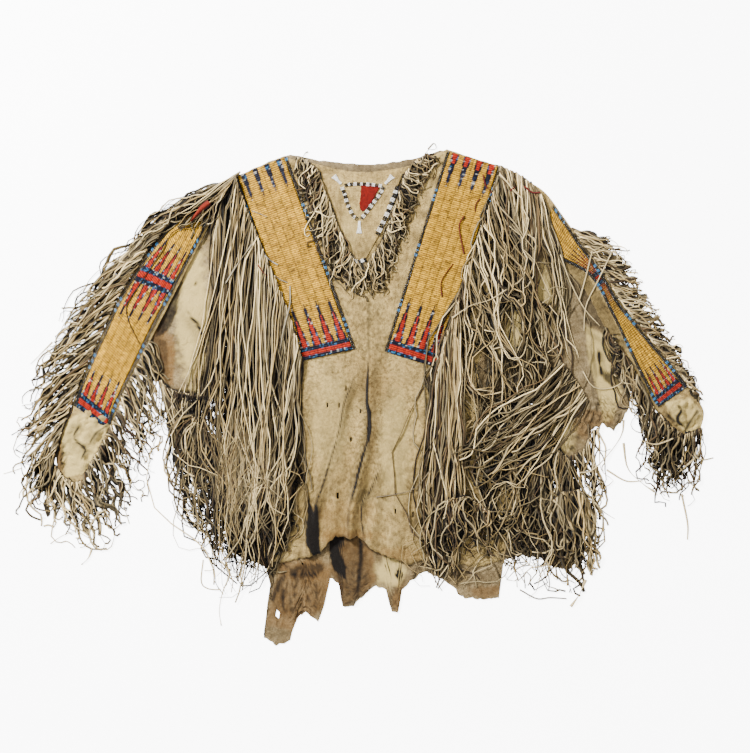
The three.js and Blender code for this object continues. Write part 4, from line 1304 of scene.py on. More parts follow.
@dataclass
class SleeveSurface:
    """A strip on a sleeve's upper layer, between two rungs."""

    sleeve: Sleeve
    first: float
    final: float
    margin: float  # of hide, left beyond the strip
    pinch: float = 0.0  # how much narrower the strip is in its middle part

    @property
    def length(self) -> float:
        """Length of the line midway across, from rung to rung.

        Returns:
            millimetres.
        """
        s = np.linspace(self.first, self.final, 40)
        mid = self.sleeve.surface(s, 0.5 * self.sleeve.width(s))
        return float(np.linalg.norm(np.diff(mid, axis=0), axis=1).sum())

    def inner(self, f: Array) -> Array:
        """d of its inner side: a margin of hide is left, and more where the strip is pinched.

        Args:
            f: (n,) shares of the length.
        Returns:
            (n,) distances from the outer side.
        """
        bump = smooth((f - 0.1) / 0.22) * (1 - smooth((f - 0.5) / 0.35))
        width = self.sleeve.width(self.first + (self.final - self.first) * f)
        return width - FOLD_RADIUS - self.margin - self.pinch * bump

    def at(self, f: Array, d: Array, h: Array) -> Array:
        """Points of the sleeve's surface, lifted over its own swell.

        Args, Returns: as for ShoulderSurface.at.
        """
        points = self.sleeve.surface(self.first + (self.final - self.first) * f, d)
        swell = 0.54 * (1 + ripple(points[:, 0], points[:, 1], 60.0, self.sleeve.seed))
        points[:, 2] += h + smooth(d / 8.0) * swell + 0.3
        return points


@dataclass
class QuilledStrip:
    """A strip of quillwork with bead lanes along its edges.

    surface.at(share, d, h) gives its points: share runs from its top to its end, d across it.
    """

    name: str
    surface: ShoulderSurface | SleeveSurface
    start: float  # d of the outer lane's outer side
    designs: tuple[Spikes | Band, ...]
    quill_lanes: int = 6
    skew: float = 0.0  # by how many millimetres the designs run ahead on the inner side
    seed: int = 51
    cad_lanes: tuple[str, ...] = ("outer", "inner")

    def build(self, quill: Material, bead: Material, pile: Pile) -> None:
        """Make the quillwork as a ribbed sheet and each lane as rows of beads.

        Args:
            quill, bead: the finishes of the quillwork and of the beads.
            pile: the heights laid so far.
        """
        length = self.surface.length
        rows, columns = int(length / WRAP), 49
        f = np.repeat(np.linspace(0, 1, rows)[:, None], columns, 1)
        c = np.repeat(np.linspace(0, 1, columns)[None, :], rows, 0)
        low = self.start + (LANE + SEAM)
        high = self.surface.inner(f[:, 0]) - LANE - SEAM
        d = low + (high[:, None] - low) * c
        lane = c * self.quill_lanes
        groove = np.abs(lane - np.round(lane)) * (high - low)[:, None] / self.quill_lanes
        puff = 0.55 * (1 - bell(groove / 1.3))
        h = 0.3 + (0.9 + puff) * np.minimum(np.minimum(c, 1 - c) * 60, 1)
        points = self.surface.at(f.ravel(), d.ravel(), h.ravel())
        pile.lay_sheet(points.reshape(rows, columns, 3))
        drawn = f + self.skew / length * (c - 0.5) * (1 - smooth((f - 0.72) / 0.2))
        # painted shade in the grooves between the quill lanes
        dark = 0.5 + 0.5 * (1 - bell(groove / 1.2))
        tone = self._tone(drawn.ravel(), c.ravel(), length) * dark.reshape(-1, 1)
        lay = np.column_stack([f.ravel() * length, d.ravel(), np.zeros(f.size)])
        layers, quads = {"tone": tone, "lay": lay}, grid_quads(rows, columns)
        piece(self.name, points, quads, quill, layers, self.name.lower(), 0.8)
        self._lane("outer", self.start + LANE / 2 + 0 * high, bead)
        self._lane("inner", high + SEAM + LANE / 2, bead)

    def _tone(self, f: Array, c: Array, length: float) -> Array:
        """The quillwork's colours: gold, uneven from quill to quill, with the designs over it.

        Args:
            f, c: (n,) shares of the length and of the width.
            length: of the strip.
        Returns:
            (n, 3) colours.
        """
        mm, rng = f * length, np.random.default_rng(self.seed)
        quill = scramble(np.floor(mm / QUILL) * 12.9898 + np.floor(c * self.quill_lanes) * 78.233)
        gold = Ink.OLD_GOLD.rgb + (Ink.GOLD.rgb - Ink.OLD_GOLD.rgb) * (0.2 + 0.8 * quill)[:, None]
        gold = gold * (1.05 + 0.16 * ripple(mm, c * 90, 70.0, self.seed))[:, None]
        splice = scramble(np.floor(mm / WRAP) * 91.7 + np.floor(c * self.quill_lanes * 4) * 37.1)
        tone = gold * np.where(splice < 0.1, 0.42, 1.0)[:, None]
        for design in self.designs:
            tone = design.paint(tone, f, c, mm, rng)
        return tone

    def _lane(self, side: str, d: Array, bead: Material) -> None:
        """One edge lane: three beads abreast, black with groups of sky-blue blocks.

        Args:
            side: the edge, outer or inner.
            d: distances across, evenly along the strip.
            bead: the beads' material.
        """
        length = self.surface.length
        rows = int(length / CHECK)
        f = (np.arange(rows) + 0.5) / rows
        across = np.repeat(np.interp(f, np.linspace(0, 1, len(d)), d), 3) + np.tile([-1.8, 0.0, 1.8], rows)
        f = np.repeat(f, 3)
        high = np.full(len(f), 1.15)
        ahead = self.surface.at(np.minimum(f + 0.004, 1.0), across, high)
        behind = self.surface.at(np.maximum(f - 0.004, 0.0), across, high)
        phase = (f * length + 17.0 * (self.seed % 5) + (31.0 if side == "outer" else 0.0)) % 104.0
        sky = (phase < 28) & (np.floor(phase / 5.0) % 2 == 0)
        tone = painted(painted(Ink.BLACK.rgb, sky, Ink.SKY.rgb), (phase > 60) & (phase < 68), Ink.NAVY.rgb)
        name, at = f"{self.name}_lane_{side}", self.surface.at(f, across, high)
        node = name.lower() if side in self.cad_lanes else ""
        bead_rows(name, node, at, ahead - behind, tone, bead, self.seed, 1.2)


# ------------------------------------------------------------------ bib


@dataclass
class Bib:
    """The neck bib with its red inset, bead triangle, keyhole tabs and edge lane."""

    rule: FrontRule

    def top(self, x: Array, y: Array) -> Array:
        """Height of the bib's upper face."""
        lift = 0.8 * (1 + ripple(x, y, 150.0, 77))
        return self.rule(x, y) + HIDE + 0.3 + HIDE + 0.5 * lift + 0.4

    def build(self, hide: Material, cloth: Material, bead: Material, pile: Pile) -> None:
        """Make the bib, then the red cloth and the beads that lie on it.

        Args:
            hide, cloth, bead: the finishes.
            pile: the heights laid so far.
        """
        low, left, right = BIB_ROWS.T
        y = np.linspace(low[-1], low[0], 44)
        x = between(np.interp(y, low, left)[:, None], np.interp(y, low, right)[:, None], 40)[..., 0]
        y = np.repeat(y[:, None], 40, 1)
        flap = Hide("Neck_bib", (0.151, 0.158), 0.0148, 3, tint_patches=BIB_TINTS)
        flap.make(np.dstack([x, y, self.top(x, y)]), 0 * x, hide, pile, [])
        k = np.linspace(0, 1, 22)
        a, b = (flowing(chart(side), k) for side in INSET_SIDES)
        a[:, 0] += 0.8 * ripple(k * 60, 0 * k, 9.0, 5)  # the cloth is frayed on this side
        xy = between(a, b, 18)
        z = self.top(xy[..., 0], xy[..., 1]) + 1.3 + 0.4 * ripple(xy[..., 0], xy[..., 1], 14.0, 6)
        points = np.dstack([xy, z]).reshape(-1, 3)
        inset = piece("Bib_red_inset", points, grid_quads(22, 18), cloth, {}, "bib_inset", 1.0)
        for name, node, wide, block, first, seed, route in BIB_BEADS:
            self._row(name, node, np.array(wide), block, first, seed, chart(route), bead)

    def _row(self, name: str, node: str, wide: Array, block: float, first: Ink, seed: int, route: Array,
             bead: Material) -> None:
        """Beads along a route, two or more abreast as its width allows, in blocks of two colours.

        Args:
            name, node: what the row is and stands for.
            wide, block: its widths along the route, and the length of a block, in millimetres.
            first: the colour of its first block.
            seed: for the unevenness of the beads.
            route: (k, 2) places.
            bead: the beads' finish.
        """
        run = float(np.linalg.norm(np.diff(route, axis=0), axis=1).sum())
        count = max(int(run / 2.0), 2)
        share = (np.arange(count) + 0.5) / count
        step = along(route, np.minimum(share + 0.02, 1)) - along(route, np.maximum(share - 0.02, 0))
        step /= np.linalg.norm(step, axis=1)[:, None]
        side = np.column_stack([-step[:, 1], step[:, 0]])
        width = np.interp(share, np.linspace(0, 1, len(wide)), wide)[:, None, None]
        many = max(int(round(float(wide.max()) / 2.0)), 2)
        abreast = np.linspace(-0.5, 0.5, many)[None, :, None]
        x, y = (along(route, share)[:, None] + side[:, None] * (abreast * (width - 1.8))).reshape(-1, 2).T
        other = Ink.WHITE if first is Ink.BLACK else Ink.BLACK
        odd = np.floor(share * run / block).astype(int) % 2 == 1
        tone = np.repeat(painted(first.rgb, odd, other.rgb), many, axis=0)
        across = np.repeat(np.column_stack([step, np.zeros(count)]), many, axis=0)
        at = np.column_stack([x, y, self.top(x, y) + 1.1])
        bead_rows(name, node, at, across, tone, bead, seed)


# ------------------------------------------------------------------ fringe


@dataclass
class FringeRow:
    """A row of cut thongs: roots and tips are charted polylines, run the same way."""

    name: str
    roots: str
    tips: str
    count: int
    start: tuple[float, ...]  # heading at the root, in degrees, along the row
    settle: float = 0.15  # share of the length in which it turns to its own way
    wave: float = 0.10  # radians of gentle wandering
    curl: float = 0.6  # radians of curling towards the tip
    reach: tuple[float, float] = (0.72, 1.02)
    spread: float = 4.0  # squares by which tips are scattered
    clump: float = 3.5  # how far neighbours draw together, in millimetres
    width: float | Array = 3.3
    thick: float = 1.5
    rings: int = 15
    batches: int = 6
    dark: float = 0.24  # brightness of the lowest thongs: painted shade under the rest
    # brightness of the top thongs; lower where a whole row is painted as lying in shade
    light: float = 1.05
    brown: float = 0.12  # share of browned thongs
    shade_backing_wide: float = 1.9  # the lowest thongs are wider by this, a dark backing of painted shade
    gloom: float = 1.0  # painted shade: millimetres under the top at which a thong is painted most of the way dark
    partings: str = ""  # chart ovals that stay bare
    seed: int = 100
    route: Array = field(init=False, repr=False)
    level: Array = field(init=False, repr=False)

    def routes(self, rng: Chance) -> Array:
        """Walk each thong by its heading: from its start to the way of its tip, plus wandering all
        along and curling that grows with the square of the run; then lean it to meet its tip.

        Args:
            rng: the row's own chance.
        Returns:
            (n, m, 2) places.
        """
        n, m = self.count, 72
        share = (np.arange(n) + rng.uniform(0, 1, n)) / n
        rng.shuffle(share)
        root = along(chart(self.roots), share) + rng.normal(0, 0.8, (n, 2))
        aim = along(chart(self.tips), np.clip(share + rng.normal(0, 0.05, n), 0, 1))
        aim = aim + rng.normal(0, self.spread * SQUARE, (n, 2))
        low = np.where(np.arange(n) < n // self.batches, 0.88, 1.0)
        tip = root + (aim - root) * (low * rng.uniform(*self.reach, n))[:, None]
        chord = tip - root
        length = np.linalg.norm(chord, axis=1) * 1.04
        ahead = np.arctan2(chord[:, 1], chord[:, 0])
        first = np.radians(np.interp(share, np.linspace(0, 1, len(self.start)), self.start))
        turn = (first + rng.normal(0, 0.2, n) - ahead + math.pi) % (2 * math.pi) - math.pi
        t = np.linspace(0, 1, m)[None, :]
        settle = self.settle * rng.uniform(0.6, 1.9, (n, 1))
        heading = ahead[:, None] + turn[:, None] * (1 - smooth(t / settle))

        def wander(pitch: float, low: float, high: float) -> Array:
            """A sine along each thong, with its own phase and pitch."""
            phase = rng.uniform(0, 2 * math.pi, (n, 1))
            return np.sin(pitch * rng.uniform(low, high, (n, 1)) * t + phase)

        for pitch, size in ((3.0, 1.0), (6.5, 0.8), (12.0, 0.6)):
            heading = heading + self.wave * size * wander(pitch, 0.7, 1.3)
        for pitch, size in ((9.0, 1.0), (21.0, 0.75)):
            sine = wander(pitch, 0.6, 1.4)
            heading = heading + self.curl * size * rng.gamma(2.0, 0.5, (n, 1)) * t**2.2 * sine
        step = np.stack([np.cos(heading), np.sin(heading)], axis=2) * (length / (m - 1))[:, None, None]
        walk = np.concatenate([np.zeros((n, 1, 2)), np.cumsum(step[:, :-1], axis=1)], axis=1)
        walk = root[:, None] + walk
        walk = walk + (tip - walk[:, -1])[:, None] * (t**1.3)[..., None]
        way = chord.mean(axis=0) / np.linalg.norm(chord.mean(axis=0))
        aside = np.array([-way[1], way[0]])
        drawn = self.clump * smooth(t * 3) * ripple(walk @ aside, walk @ way * 0.25, 30.0, self.seed + 7, 2)
        walk = walk + drawn[..., None] * aside
        for u, v, *sizes in numbers(self.partings):
            oval = np.array(sizes) * SQUARE
            off = (walk - squares((u, v))) / oval
            away = np.maximum(np.linalg.norm(off, axis=2), 0.02)[..., None]
            walk = walk + off / away * bell(away) * oval * 0.9
        return walk

    def lay(self, pile: Pile) -> None:
        """Lay the thongs batch by batch, each over what lies there.

        Args:
            pile: the heights laid so far.
        """
        walk = self.routes(np.random.default_rng(self.seed))
        z = np.zeros(walk.shape[:2])
        batch = np.arange(self.count) * self.batches // self.count
        for number in range(self.batches):
            mine = batch == number
            over = pile.drape(walk[mine, :, 0], walk[mine, :, 1]) + self.thick * 0.55 + 0.2
            z[mine] = np.maximum(over, self.width * 0.45)
            pile.lay_routes(np.dstack([walk[mine], z[mine][..., None]]), self.thick * 0.3)
        self.route = np.dstack([walk, z[..., None]])
        self.level = batch / max(self.batches - 1, 1)

    def _arms(self, walk: Array, pick: Array, rng: Chance) -> Array:
        """The corners of each ring from its middle: a flat lozenge that turns slowly along the thong.

        Args:
            walk: (n, m, 3) routes.
            pick: (rings,) which places of a route have a ring.
            rng: the row's own chance.
        Returns:
            (n, rings, 4, 3) offsets.
        """
        n, m = walk.shape[:2]
        u = np.linspace(0, 1, self.rings)[None, :]
        fore = walk[:, np.minimum(pick + 1, m - 1)] - walk[:, np.maximum(pick - 1, 0)]
        fore /= np.maximum(np.linalg.norm(fore, axis=2), 1e-9)[..., None]
        side = np.cross(fore, np.array([0.0, 0.0, 1.0]))
        side /= np.maximum(np.linalg.norm(side, axis=2), 1e-9)[..., None]
        up = np.cross(side, fore)
        twist = (rng.normal(0, 0.7, (n, 1)) + rng.normal(0, 2.2, (n, 1)) * u)[..., None]
        wide = self.width * rng.uniform(0.7, 1.25, (n, 1)) * (1 - 0.15 * u**1.5)
        # the lowest thongs are widened into a dark backing of painted shade
        wide = (wide * np.where(self.level == 0, self.shade_backing_wide, 1.0)[:, None])[..., None]
        thick = (self.thick * rng.uniform(0.8, 1.15, (n, 1)) * (1 - 0.35 * u))[..., None]
        a = side * np.cos(twist) + up * np.sin(twist)
        b = up * np.cos(twist) - side * np.sin(twist)
        corners = ((0, 1), (-1, 0), (0, -1), (1, 0))
        return np.stack([a * (p * wide / 2) + b * (q * thick / 2) for p, q in corners], axis=2)

    def _tone(self, at: Array, rng: Chance, pile: Pile, own: Array | None) -> Array:
        """The rings' colours: some hides are tan or brown; painted shade makes the low thongs darker,
        and what lies deep in the pile darker still.

        Args:
            at: (n, rings, 3) middles of the rings.
            rng: the row's own chance.
            pile: the finished pile.
            own: (n, 3) colours, if they are not left to chance.
        Returns:
            (n, rings, 3) colours.
        """
        n, u = len(at), np.linspace(0, 1, self.rings)[None, :, None]
        kind = rng.random((n, 1, 1))
        body = np.where(kind < self.brown, WARM_TAN, np.where(kind < self.brown + 0.36, TAN, CREAM))
        # painted shade: the lower the batch, the darker the thong
        shade = self.dark + (self.light - self.dark) * self.level**0.8
        shade = shade * rng.choice([0.25, 0.6, 1.0, 1.4], n, p=[0.3, 0.25, 0.25, 0.2])
        tone = body * shade[:, None, None] * (1 - 0.1 * u**2) if own is None else own[:, None]
        # painted shade, by depth under the evened top of the pile
        under = np.maximum(pile.depth(at[..., 0], at[..., 1], at[..., 2]) - 0.35, 0)
        deep = np.exp(-under / self.gloom)[..., None]
        return PILE_SHADE * 0.5 * (1 - deep) + tone * deep

    def dress(self, finish: Material, pile: Pile, own: Array | None = None) -> None:
        """Make the thongs: four-sided round their routes, with shade painted on the sides and underside.

        Args:
            finish: the thongs' material.
            pile: the finished pile.
            own: (n, 3) colours, if they are not left to chance.
        """
        rng = np.random.default_rng(self.seed + 1)
        n, m = self.route.shape[:2]
        pick = np.round((1 - (1 - np.linspace(0, 1, self.rings)) ** 1.25) * (m - 1)).astype(int)
        at = self.route[:, pick]
        arms = self._arms(self.route, pick, rng)
        points = at[:, :, None] + arms
        points[..., 2] = np.maximum(points[..., 2], 0.25)
        lift = arms[..., 2] / np.linalg.norm(arms, axis=3)
        # painted shade: the corner facing up is light, the side corners and the one below are dark
        edge = 0.05 + 1.1 * smooth((lift + 0.15) / 1.1)
        tone = self._tone(at, rng, pile, own)[:, :, None] * edge[..., None]
        caps = [[3, 2, 1, 0], 4 * self.rings - np.arange(4, 0, -1)]
        quads = repeated(np.vstack([grid_quads(self.rings, 4, loop=True), caps]), n, 4 * self.rings)
        node = self.name.lower() if self.name.startswith(("Fringe", "Neck")) else ""
        layers = {"tone": tone.reshape(-1, 3)}
        piece(self.name, points.reshape(-1, 3), quads, finish, layers, node)


CREAM = linear("D8BF8A")
TAN = linear("A88E5C")
WARM_TAN = linear("5E4A30")
# near black: painted shade deep in the pile
PILE_SHADE = linear("0C0805")

INSET_SIDES = (
    "361.5,184.5 361,189 360.4,197 359.6,204 360.5,210",
    "380.5,186 378.5,190 373.5,199 369,207 362.5,211.5",
)
LACE, TAB = (6.6, 6.6), (5.0, 5.0, 7.0, 11.0)  # widths along a bead lane and a keyhole tab
BIB_BEADS = (  # name, node, width, block, first colour, seed and route
    ("Bib_beads_end", "", (7.0, 7.0), 6.0, Ink.WHITE, 66, "347.5,250 349.5,256 353,260.5 359,262 366,259.5"),
    ("Bib_beads_right", "bib_lane_right", LACE, 5.6, Ink.WHITE, 61,
     "342,187 344.6,194 347,203 351,212 354,217 358,219.5"),
    ("Bib_beads_left", "bib_lane_left", LACE, 5.6, Ink.BLACK, 62, "384,187 378,197 371,206 366,213 361,219"),
    ("Bib_beads_top", "bib_lane_top", (6.2, 6.2), 5.6, Ink.BLACK, 63,
     "344.5,185.6 349,184.5 356,184 364,184 374,185 382,186"),
    ("Bib_beads_edge", "bib_lane_edge", (7.5, 9.0), 7.4, Ink.BLACK, 64,
     "397.5,186 394,196 390.5,205 387,214 381.5,226 377,235"),
    ("Bib_tab_right", "bib_tab_right", TAB, 60.0, Ink.WHITE, 65, "341,184 333.5,176"),
    ("Bib_tab_left", "bib_tab_left", TAB, 60.0, Ink.WHITE, 65, "385,184 392.5,176"),
    ("Bib_tab_bottom", "bib_tab_bottom", TAB, 60.0, Ink.WHITE, 65, "359.4,221 359.2,233.5"),
)

FRINGE_ROWS = (
    FringeRow(
        "Fringe_cuff_right",
        "48,446 54,464 64,476 74,483 86,480",
        "22,490 34,508 48,528 76,548 104,540 118,512",
        130, (215, 240, 270, 290), 0.2, 0.35, 1.4, (0.45, 1.0), 6.0, width=4.0, dark=0.5, shade_backing_wide=2.4,
        seed=101),
    FringeRow(
        "Fringe_inner_right",
        "150,340 139,362 126,388 112,424 98,452 84,474",
        "168,405 160,440 148,476 134,506 112,534",
        150, (320, 300), 0.2, 0.3, 1.4, (0.4, 1.0), 6.0, width=3.8, brown=0.15, dark=0.3, light=0.9,
        shade_backing_wide=2.6, seed=102),
    FringeRow(
        "Fringe_outer_right",
        "224,182 207,192 188,207 168,226 148,250 131,276 116,302 104,328 92,354 80,382 72,404 62,430 56,454",
        "150,226 118,262 90,290 66,320 48,352 34,386 22,422 16,452 22,478 38,500",
        430, (196, 200, 205, 215, 235), 0.25, 0.14, 0.6, (0.6, 1.03), 3.5, width=3.6, batches=8, seed=103),
    FringeRow(
        "Fringe_cuff_left",
        "658,412 670,426 684,434 702,428",
        "646,478 660,498 678,500 694,488",
        110, (265, 275), 0.2, 0.3, 1.4, (0.4, 1.0), 5.0, width=3.6, brown=0.3, dark=0.4, light=0.95,
        rings=13, shade_backing_wide=2.8, seed=104),
    # this row lies in shade under the sleeve: painted shade keeps it dark and dim
    FringeRow(
        "Fringe_inner_left",
        "604,326 614,342 628,360 642,384 655,412 668,428 680,438",
        "630,392 642,424 650,456 660,484 674,492",
        150, (250, 250), 0.2, 0.3, 1.2, (0.45, 1.0), 4.0, width=4.0, dark=0.2, light=0.62, rings=13,
        seed=105),
    FringeRow(
        "Fringe_outer_left",
        "572,228 580,240 596,261 609,281 621,302 637,322 654,343 671,362 683,378 694,394",
        "612,240 632,264 642,290 656,310 668,330 678,350 687,367 696,383 702,400",
        400, (335, 328, 320, 315), 0.35, 0.3, 0.8, (0.55, 1.04), 2.5, width=3.8, rings=13, dark=0.6,
        shade_backing_wide=2.8, gloom=2.2, seed=106),
    FringeRow(
        "Fringe_side_right",
        "160,380 168,388 178,392 190,394 206,395",
        "186,455 190,490 198,522 212,552 232,580",
        170, (275, 272, 270), 0.2, 0.2, 1.3, (0.45, 1.03), 4.0, width=3.6, seed=107),
    FringeRow(
        "Fringe_side_left",
        "478,405 495,410 505,393 520,390 535,410 550,440 565,458 584,451 592,431 600,427",
        "484,582 508,588 540,592 566,590 588,578 600,550 604,510",
        170, (275, 270, 265), 0.2, 0.3, 1.4, (0.4, 1.0), 5.0, width=3.6,
        partings="503,502,9,15 487,575,12,14", seed=108),
    FringeRow(
        "Mass_side_left",
        "505,420 530,432 556,448 572,462",
        "504,584 525,592 550,588 582,574",
        150, (270,), 0.2, 0.35, 1.6, (0.4, 1.02), 5.0, width=3.6, dark=0.3, light=0.9,
        partings="503,502,9,15", seed=121),
    FringeRow(
        "Ribbons_side_left",
        "552,500 562,492 576,490 588,500",
        "560,566 576,592 596,580 606,556",
        60, (290, 280), 0.3, 0.35, 0.8, (0.5, 1.03), 4.0, width=6.0, light=1.15, seed=122),
    FringeRow(
        "Fringe_arm_right",
        "226,186 222,200 219,217",
        "238,590 232,575 226,556 221,530",
        90, (269, 269), 0.1, 0.025, 0.6, (0.72, 1.02), 2.5, width=2.9, gloom=0.8, seed=109),
    FringeRow(
        "Fringe_arm_left",
        "500,166 512,171 524,178 535,188 541,196",
        "500,440 522,462 548,440 574,415 588,395",
        120, (285, 285, 290), 0.1, 0.1, 0.5, (0.35, 1.02), 4.0, gloom=2.4, light=1.2,
        partings="544,276,8,22 512,330,9,22 547,300,8,9", seed=110),
    FringeRow(
        "Sweep_right",
        "240,172 232,182 224,194",
        "150,224 186,228 203,244",
        56, (215, 235), 0.3, 0.12, 0.5, (0.6, 1.0), 4.0, width=3.2, rings=13, light=1.0, seed=129),
    FringeRow(
        "Tangle_side_right",
        "192,415 215,440 250,455 284,475",
        "200,548 224,578 262,580 298,560",
        200, (235, 265, 290), 0.4, 0.7, 2.0, (0.3, 1.0), 7.0, width=3.4, brown=0.06, dark=0.4, light=1.15,
        seed=123),
    FringeRow(
        "Fringe_shoulder_right",
        "236,178 252,222 271,268 290,316 303,361",
        "214,575 230,592 246,588 264,574 276,556 284,522",
        330, (252, 262, 266), 0.08, 0.08, 0.6, (0.7, 1.03), 3.5, width=2.8, rings=16, batches=9, gloom=0.8,
        light=1.0, partings="299,510,8,26", seed=111),
    FringeRow(
        "Fringe_shoulder_left",
        "501,168 486,215 468,266 450,318 436,367",
        "556,430 540,480 506,520 470,560 450,580 430,560",
        190, (280, 268, 262), 0.14, 0.3, 0.9, (0.35, 1.03), 8.0, clump=12.0, width=3.2, rings=18, batches=9,
        gloom=2.4, light=1.2,
        partings="544,276,8,22 512,330,10,24 482,372,12,20 503,502,11,17 470,406,8,12", seed=112),
    FringeRow(
        "Bundle_left",
        "458,300 450,325 442,350 436,372",
        "458,572 450,588 440,590 427,578",
        120, (270, 266), 0.1, 0.06, 0.4, (0.75, 1.02), 2.0, clump=5.0, width=3.2, dark=0.5, light=1.2,
        seed=126),
    FringeRow(
        "Crossing_left",
        "560,360 576,380 588,400",
        "446,452 458,485 472,515",
        54, (240, 235), 0.5, 0.2, 0.6, (0.6, 1.0), 7.0, gloom=3.0, light=1.2,
        partings="503,502,11,17 470,406,8,12", seed=124),
    FringeRow(
        "Tangle_side_left",
        "446,500 466,496 492,512",
        "444,552 468,552 496,540",
        100, (300, 200, 250), 0.5, 0.8, 2.2, (0.3, 1.2), 7.0, brown=0.35, dark=0.4, light=0.95, seed=125),
    FringeRow(
        "Fringe_bib",
        "296,157 306,160 316,167 322,184 328,199 334,216 340,232 347,249 355,263 368,263 377,250 385,236 "
        "392,218 397,200 401,186 406,172 416,160 428,153",
        "296,172 300,190 306,210 316,236 326,258 338,284 354,298 372,300 388,284 396,256 406,230 416,205 "
        "428,180 438,160",
        560, (265, 262, 262, 268, 275, 280, 285), 0.4, 0.4, 1.0, (0.5, 1.08), 3.0, width=2.9, rings=12,
        batches=7, light=1.15, seed=113),
    FringeRow(
        "Stitches_flap_right",
        "175,392 190,395 207,396",
        "176,400 191,402 208,403",
        34, (270,), 0.2, 0.2, 0.4, (0.5, 1.1), 1.2, width=2.6, rings=6, brown=1.0, light=0.5, seed=127),
    FringeRow(
        "Stitches_flap_left",
        "612,334 613,346 616,358 617,368 612,376",
        "618,335 620,346 622,358 622,369 618,379",
        34, (0,), 0.2, 0.2, 0.4, (0.5, 1.1), 1.2, width=2.6, rings=6, brown=0.4, light=0.9, seed=128),
)

LOOSE_THONGS = """
    571A10 3.2: 483,175 486,186 492,194;
    6F2617 3.2: 510,191 513,189 515,187;
    621D13 3.2: 524,187 532,193 540,193;
    572617 3.2: 480,199 476,204 475,212;
    571A10 3.2: 464,216 459,226 462,245 464,254;
    571A10 3.2: 453,264 441.5,281 442,297;
    7B2615 13: 210,203 202,210 192,222;
    6C1C10 4: 258,265 262,271 267,276;
    312213 2.4: 194,229 180,228 168,238 164,250 138,287 127,306 129,321 138,340 142,347;
    A39A86 3.2: 252,211 260,214 267,217;
    A39A86 3.2: 265,256 271,261 278,265;
    98896B 3.2: 275,276 281,280 288,283;
    817155 2.2: 376,497 396,494 415,488 430,470;
    9A8E74 3.2: 252,245 240,262 226,284;
    9A8E74 3.2: 290,286 290,305 284,330 280,352;
    CDB684 3.2: 536,283 545,290 556,287 567,289;
    CDB684 3.2: 592,251 586,276 579,300;
    CDB684 3.2: 611,253 598,280 586,306 584,331;
    CDB684 2.6: 560,255 570,282 584,308 600,326;
    CDB684 3.2: 583,371 592,386 606,389 621,383 623,370;
    CDB684 3.2: 491,350 502,348 512,360 523,354 527,337;
    CDB684 3.2: 452,318 470,306 490,300 506,290;
    6B5C42 2.8: 588,424 590,441 602,451 611,449;
    CDB684 6: 624,420 622,435 609,454 592,470 579,473;
    CDB684 5: 624,443 628,468 642,483 655,492;
    CDB684 3.6: 607,470 626,481 643,481;
    CDB684 3.6: 594,502 604,512 615,519;
    CDB684 4: 682,494 688,523 688,540;
    CDB684 4: 640,440 655,444 672,438;
    CDB684 3.6: 697,447 695,456 703,460 714,458;
    6B5C42 3.2: 520,590 537,599 550,598 567,599;
    CDB684 6: 586,580 580,594 571,607;
    CDB684 4.4: 221,560 230,573 223,591 219,610 221,626;
    CDB684 3.2: 203,560 201,582 208,589 221,590;
    CDB684 3.2: 206,535 214,554 213,569 204,571;
    CDB684 3.6: 112,527 104,510 90,527 93,546 109,549 115,533;
    CDB684 3.6: 50,544 62,536 76,532 92,540;
    CDB684 3.8: 92,548 88,558 81,565;
    CDB684 3.4: 146,395 153,420 168,423 182,409;
    CDB684 3.6: 132,480 124,502 129,524;
    CDB684 4: 52,342 42,352 30,364;
    CDB684 4: 22,468 10,472 3,474;
    CDB684 3.6: 34,486 31,498 31,506
"""


@dataclass
class LooseThongs:
    """Thongs that lie by themselves over the rest, each through its own points."""

    name: str
    seed: int
    rows: str  # colour and width: charted route
    thick: float = 1.6
    rings: int = 14

    def build(self, finish: Material, pile: Pile) -> None:
        """Lay and make the thongs.

        Args:
            finish: their material.
            pile: the heights laid so far.
        """
        items = table(self.rows)
        walk = np.stack([flowing(squares(route), np.linspace(0, 1, 72)) for _, route in items])
        z = np.maximum(pile.drape(walk[..., 0], walk[..., 1], 4) + 1.0, 1.2)
        wide = np.array([[float(width)] for (_, width), _ in items])
        row = FringeRow(self.name, "", "", len(items), (), width=wide, thick=self.thick, rings=self.rings)
        row.seed, row.route, row.level = self.seed, np.dstack([walk, z[..., None]]), np.ones(len(items))
        row.dress(finish, pile, np.array([linear(colour) for (colour, _), _ in items]))


# ------------------------------------------------------------------ stage


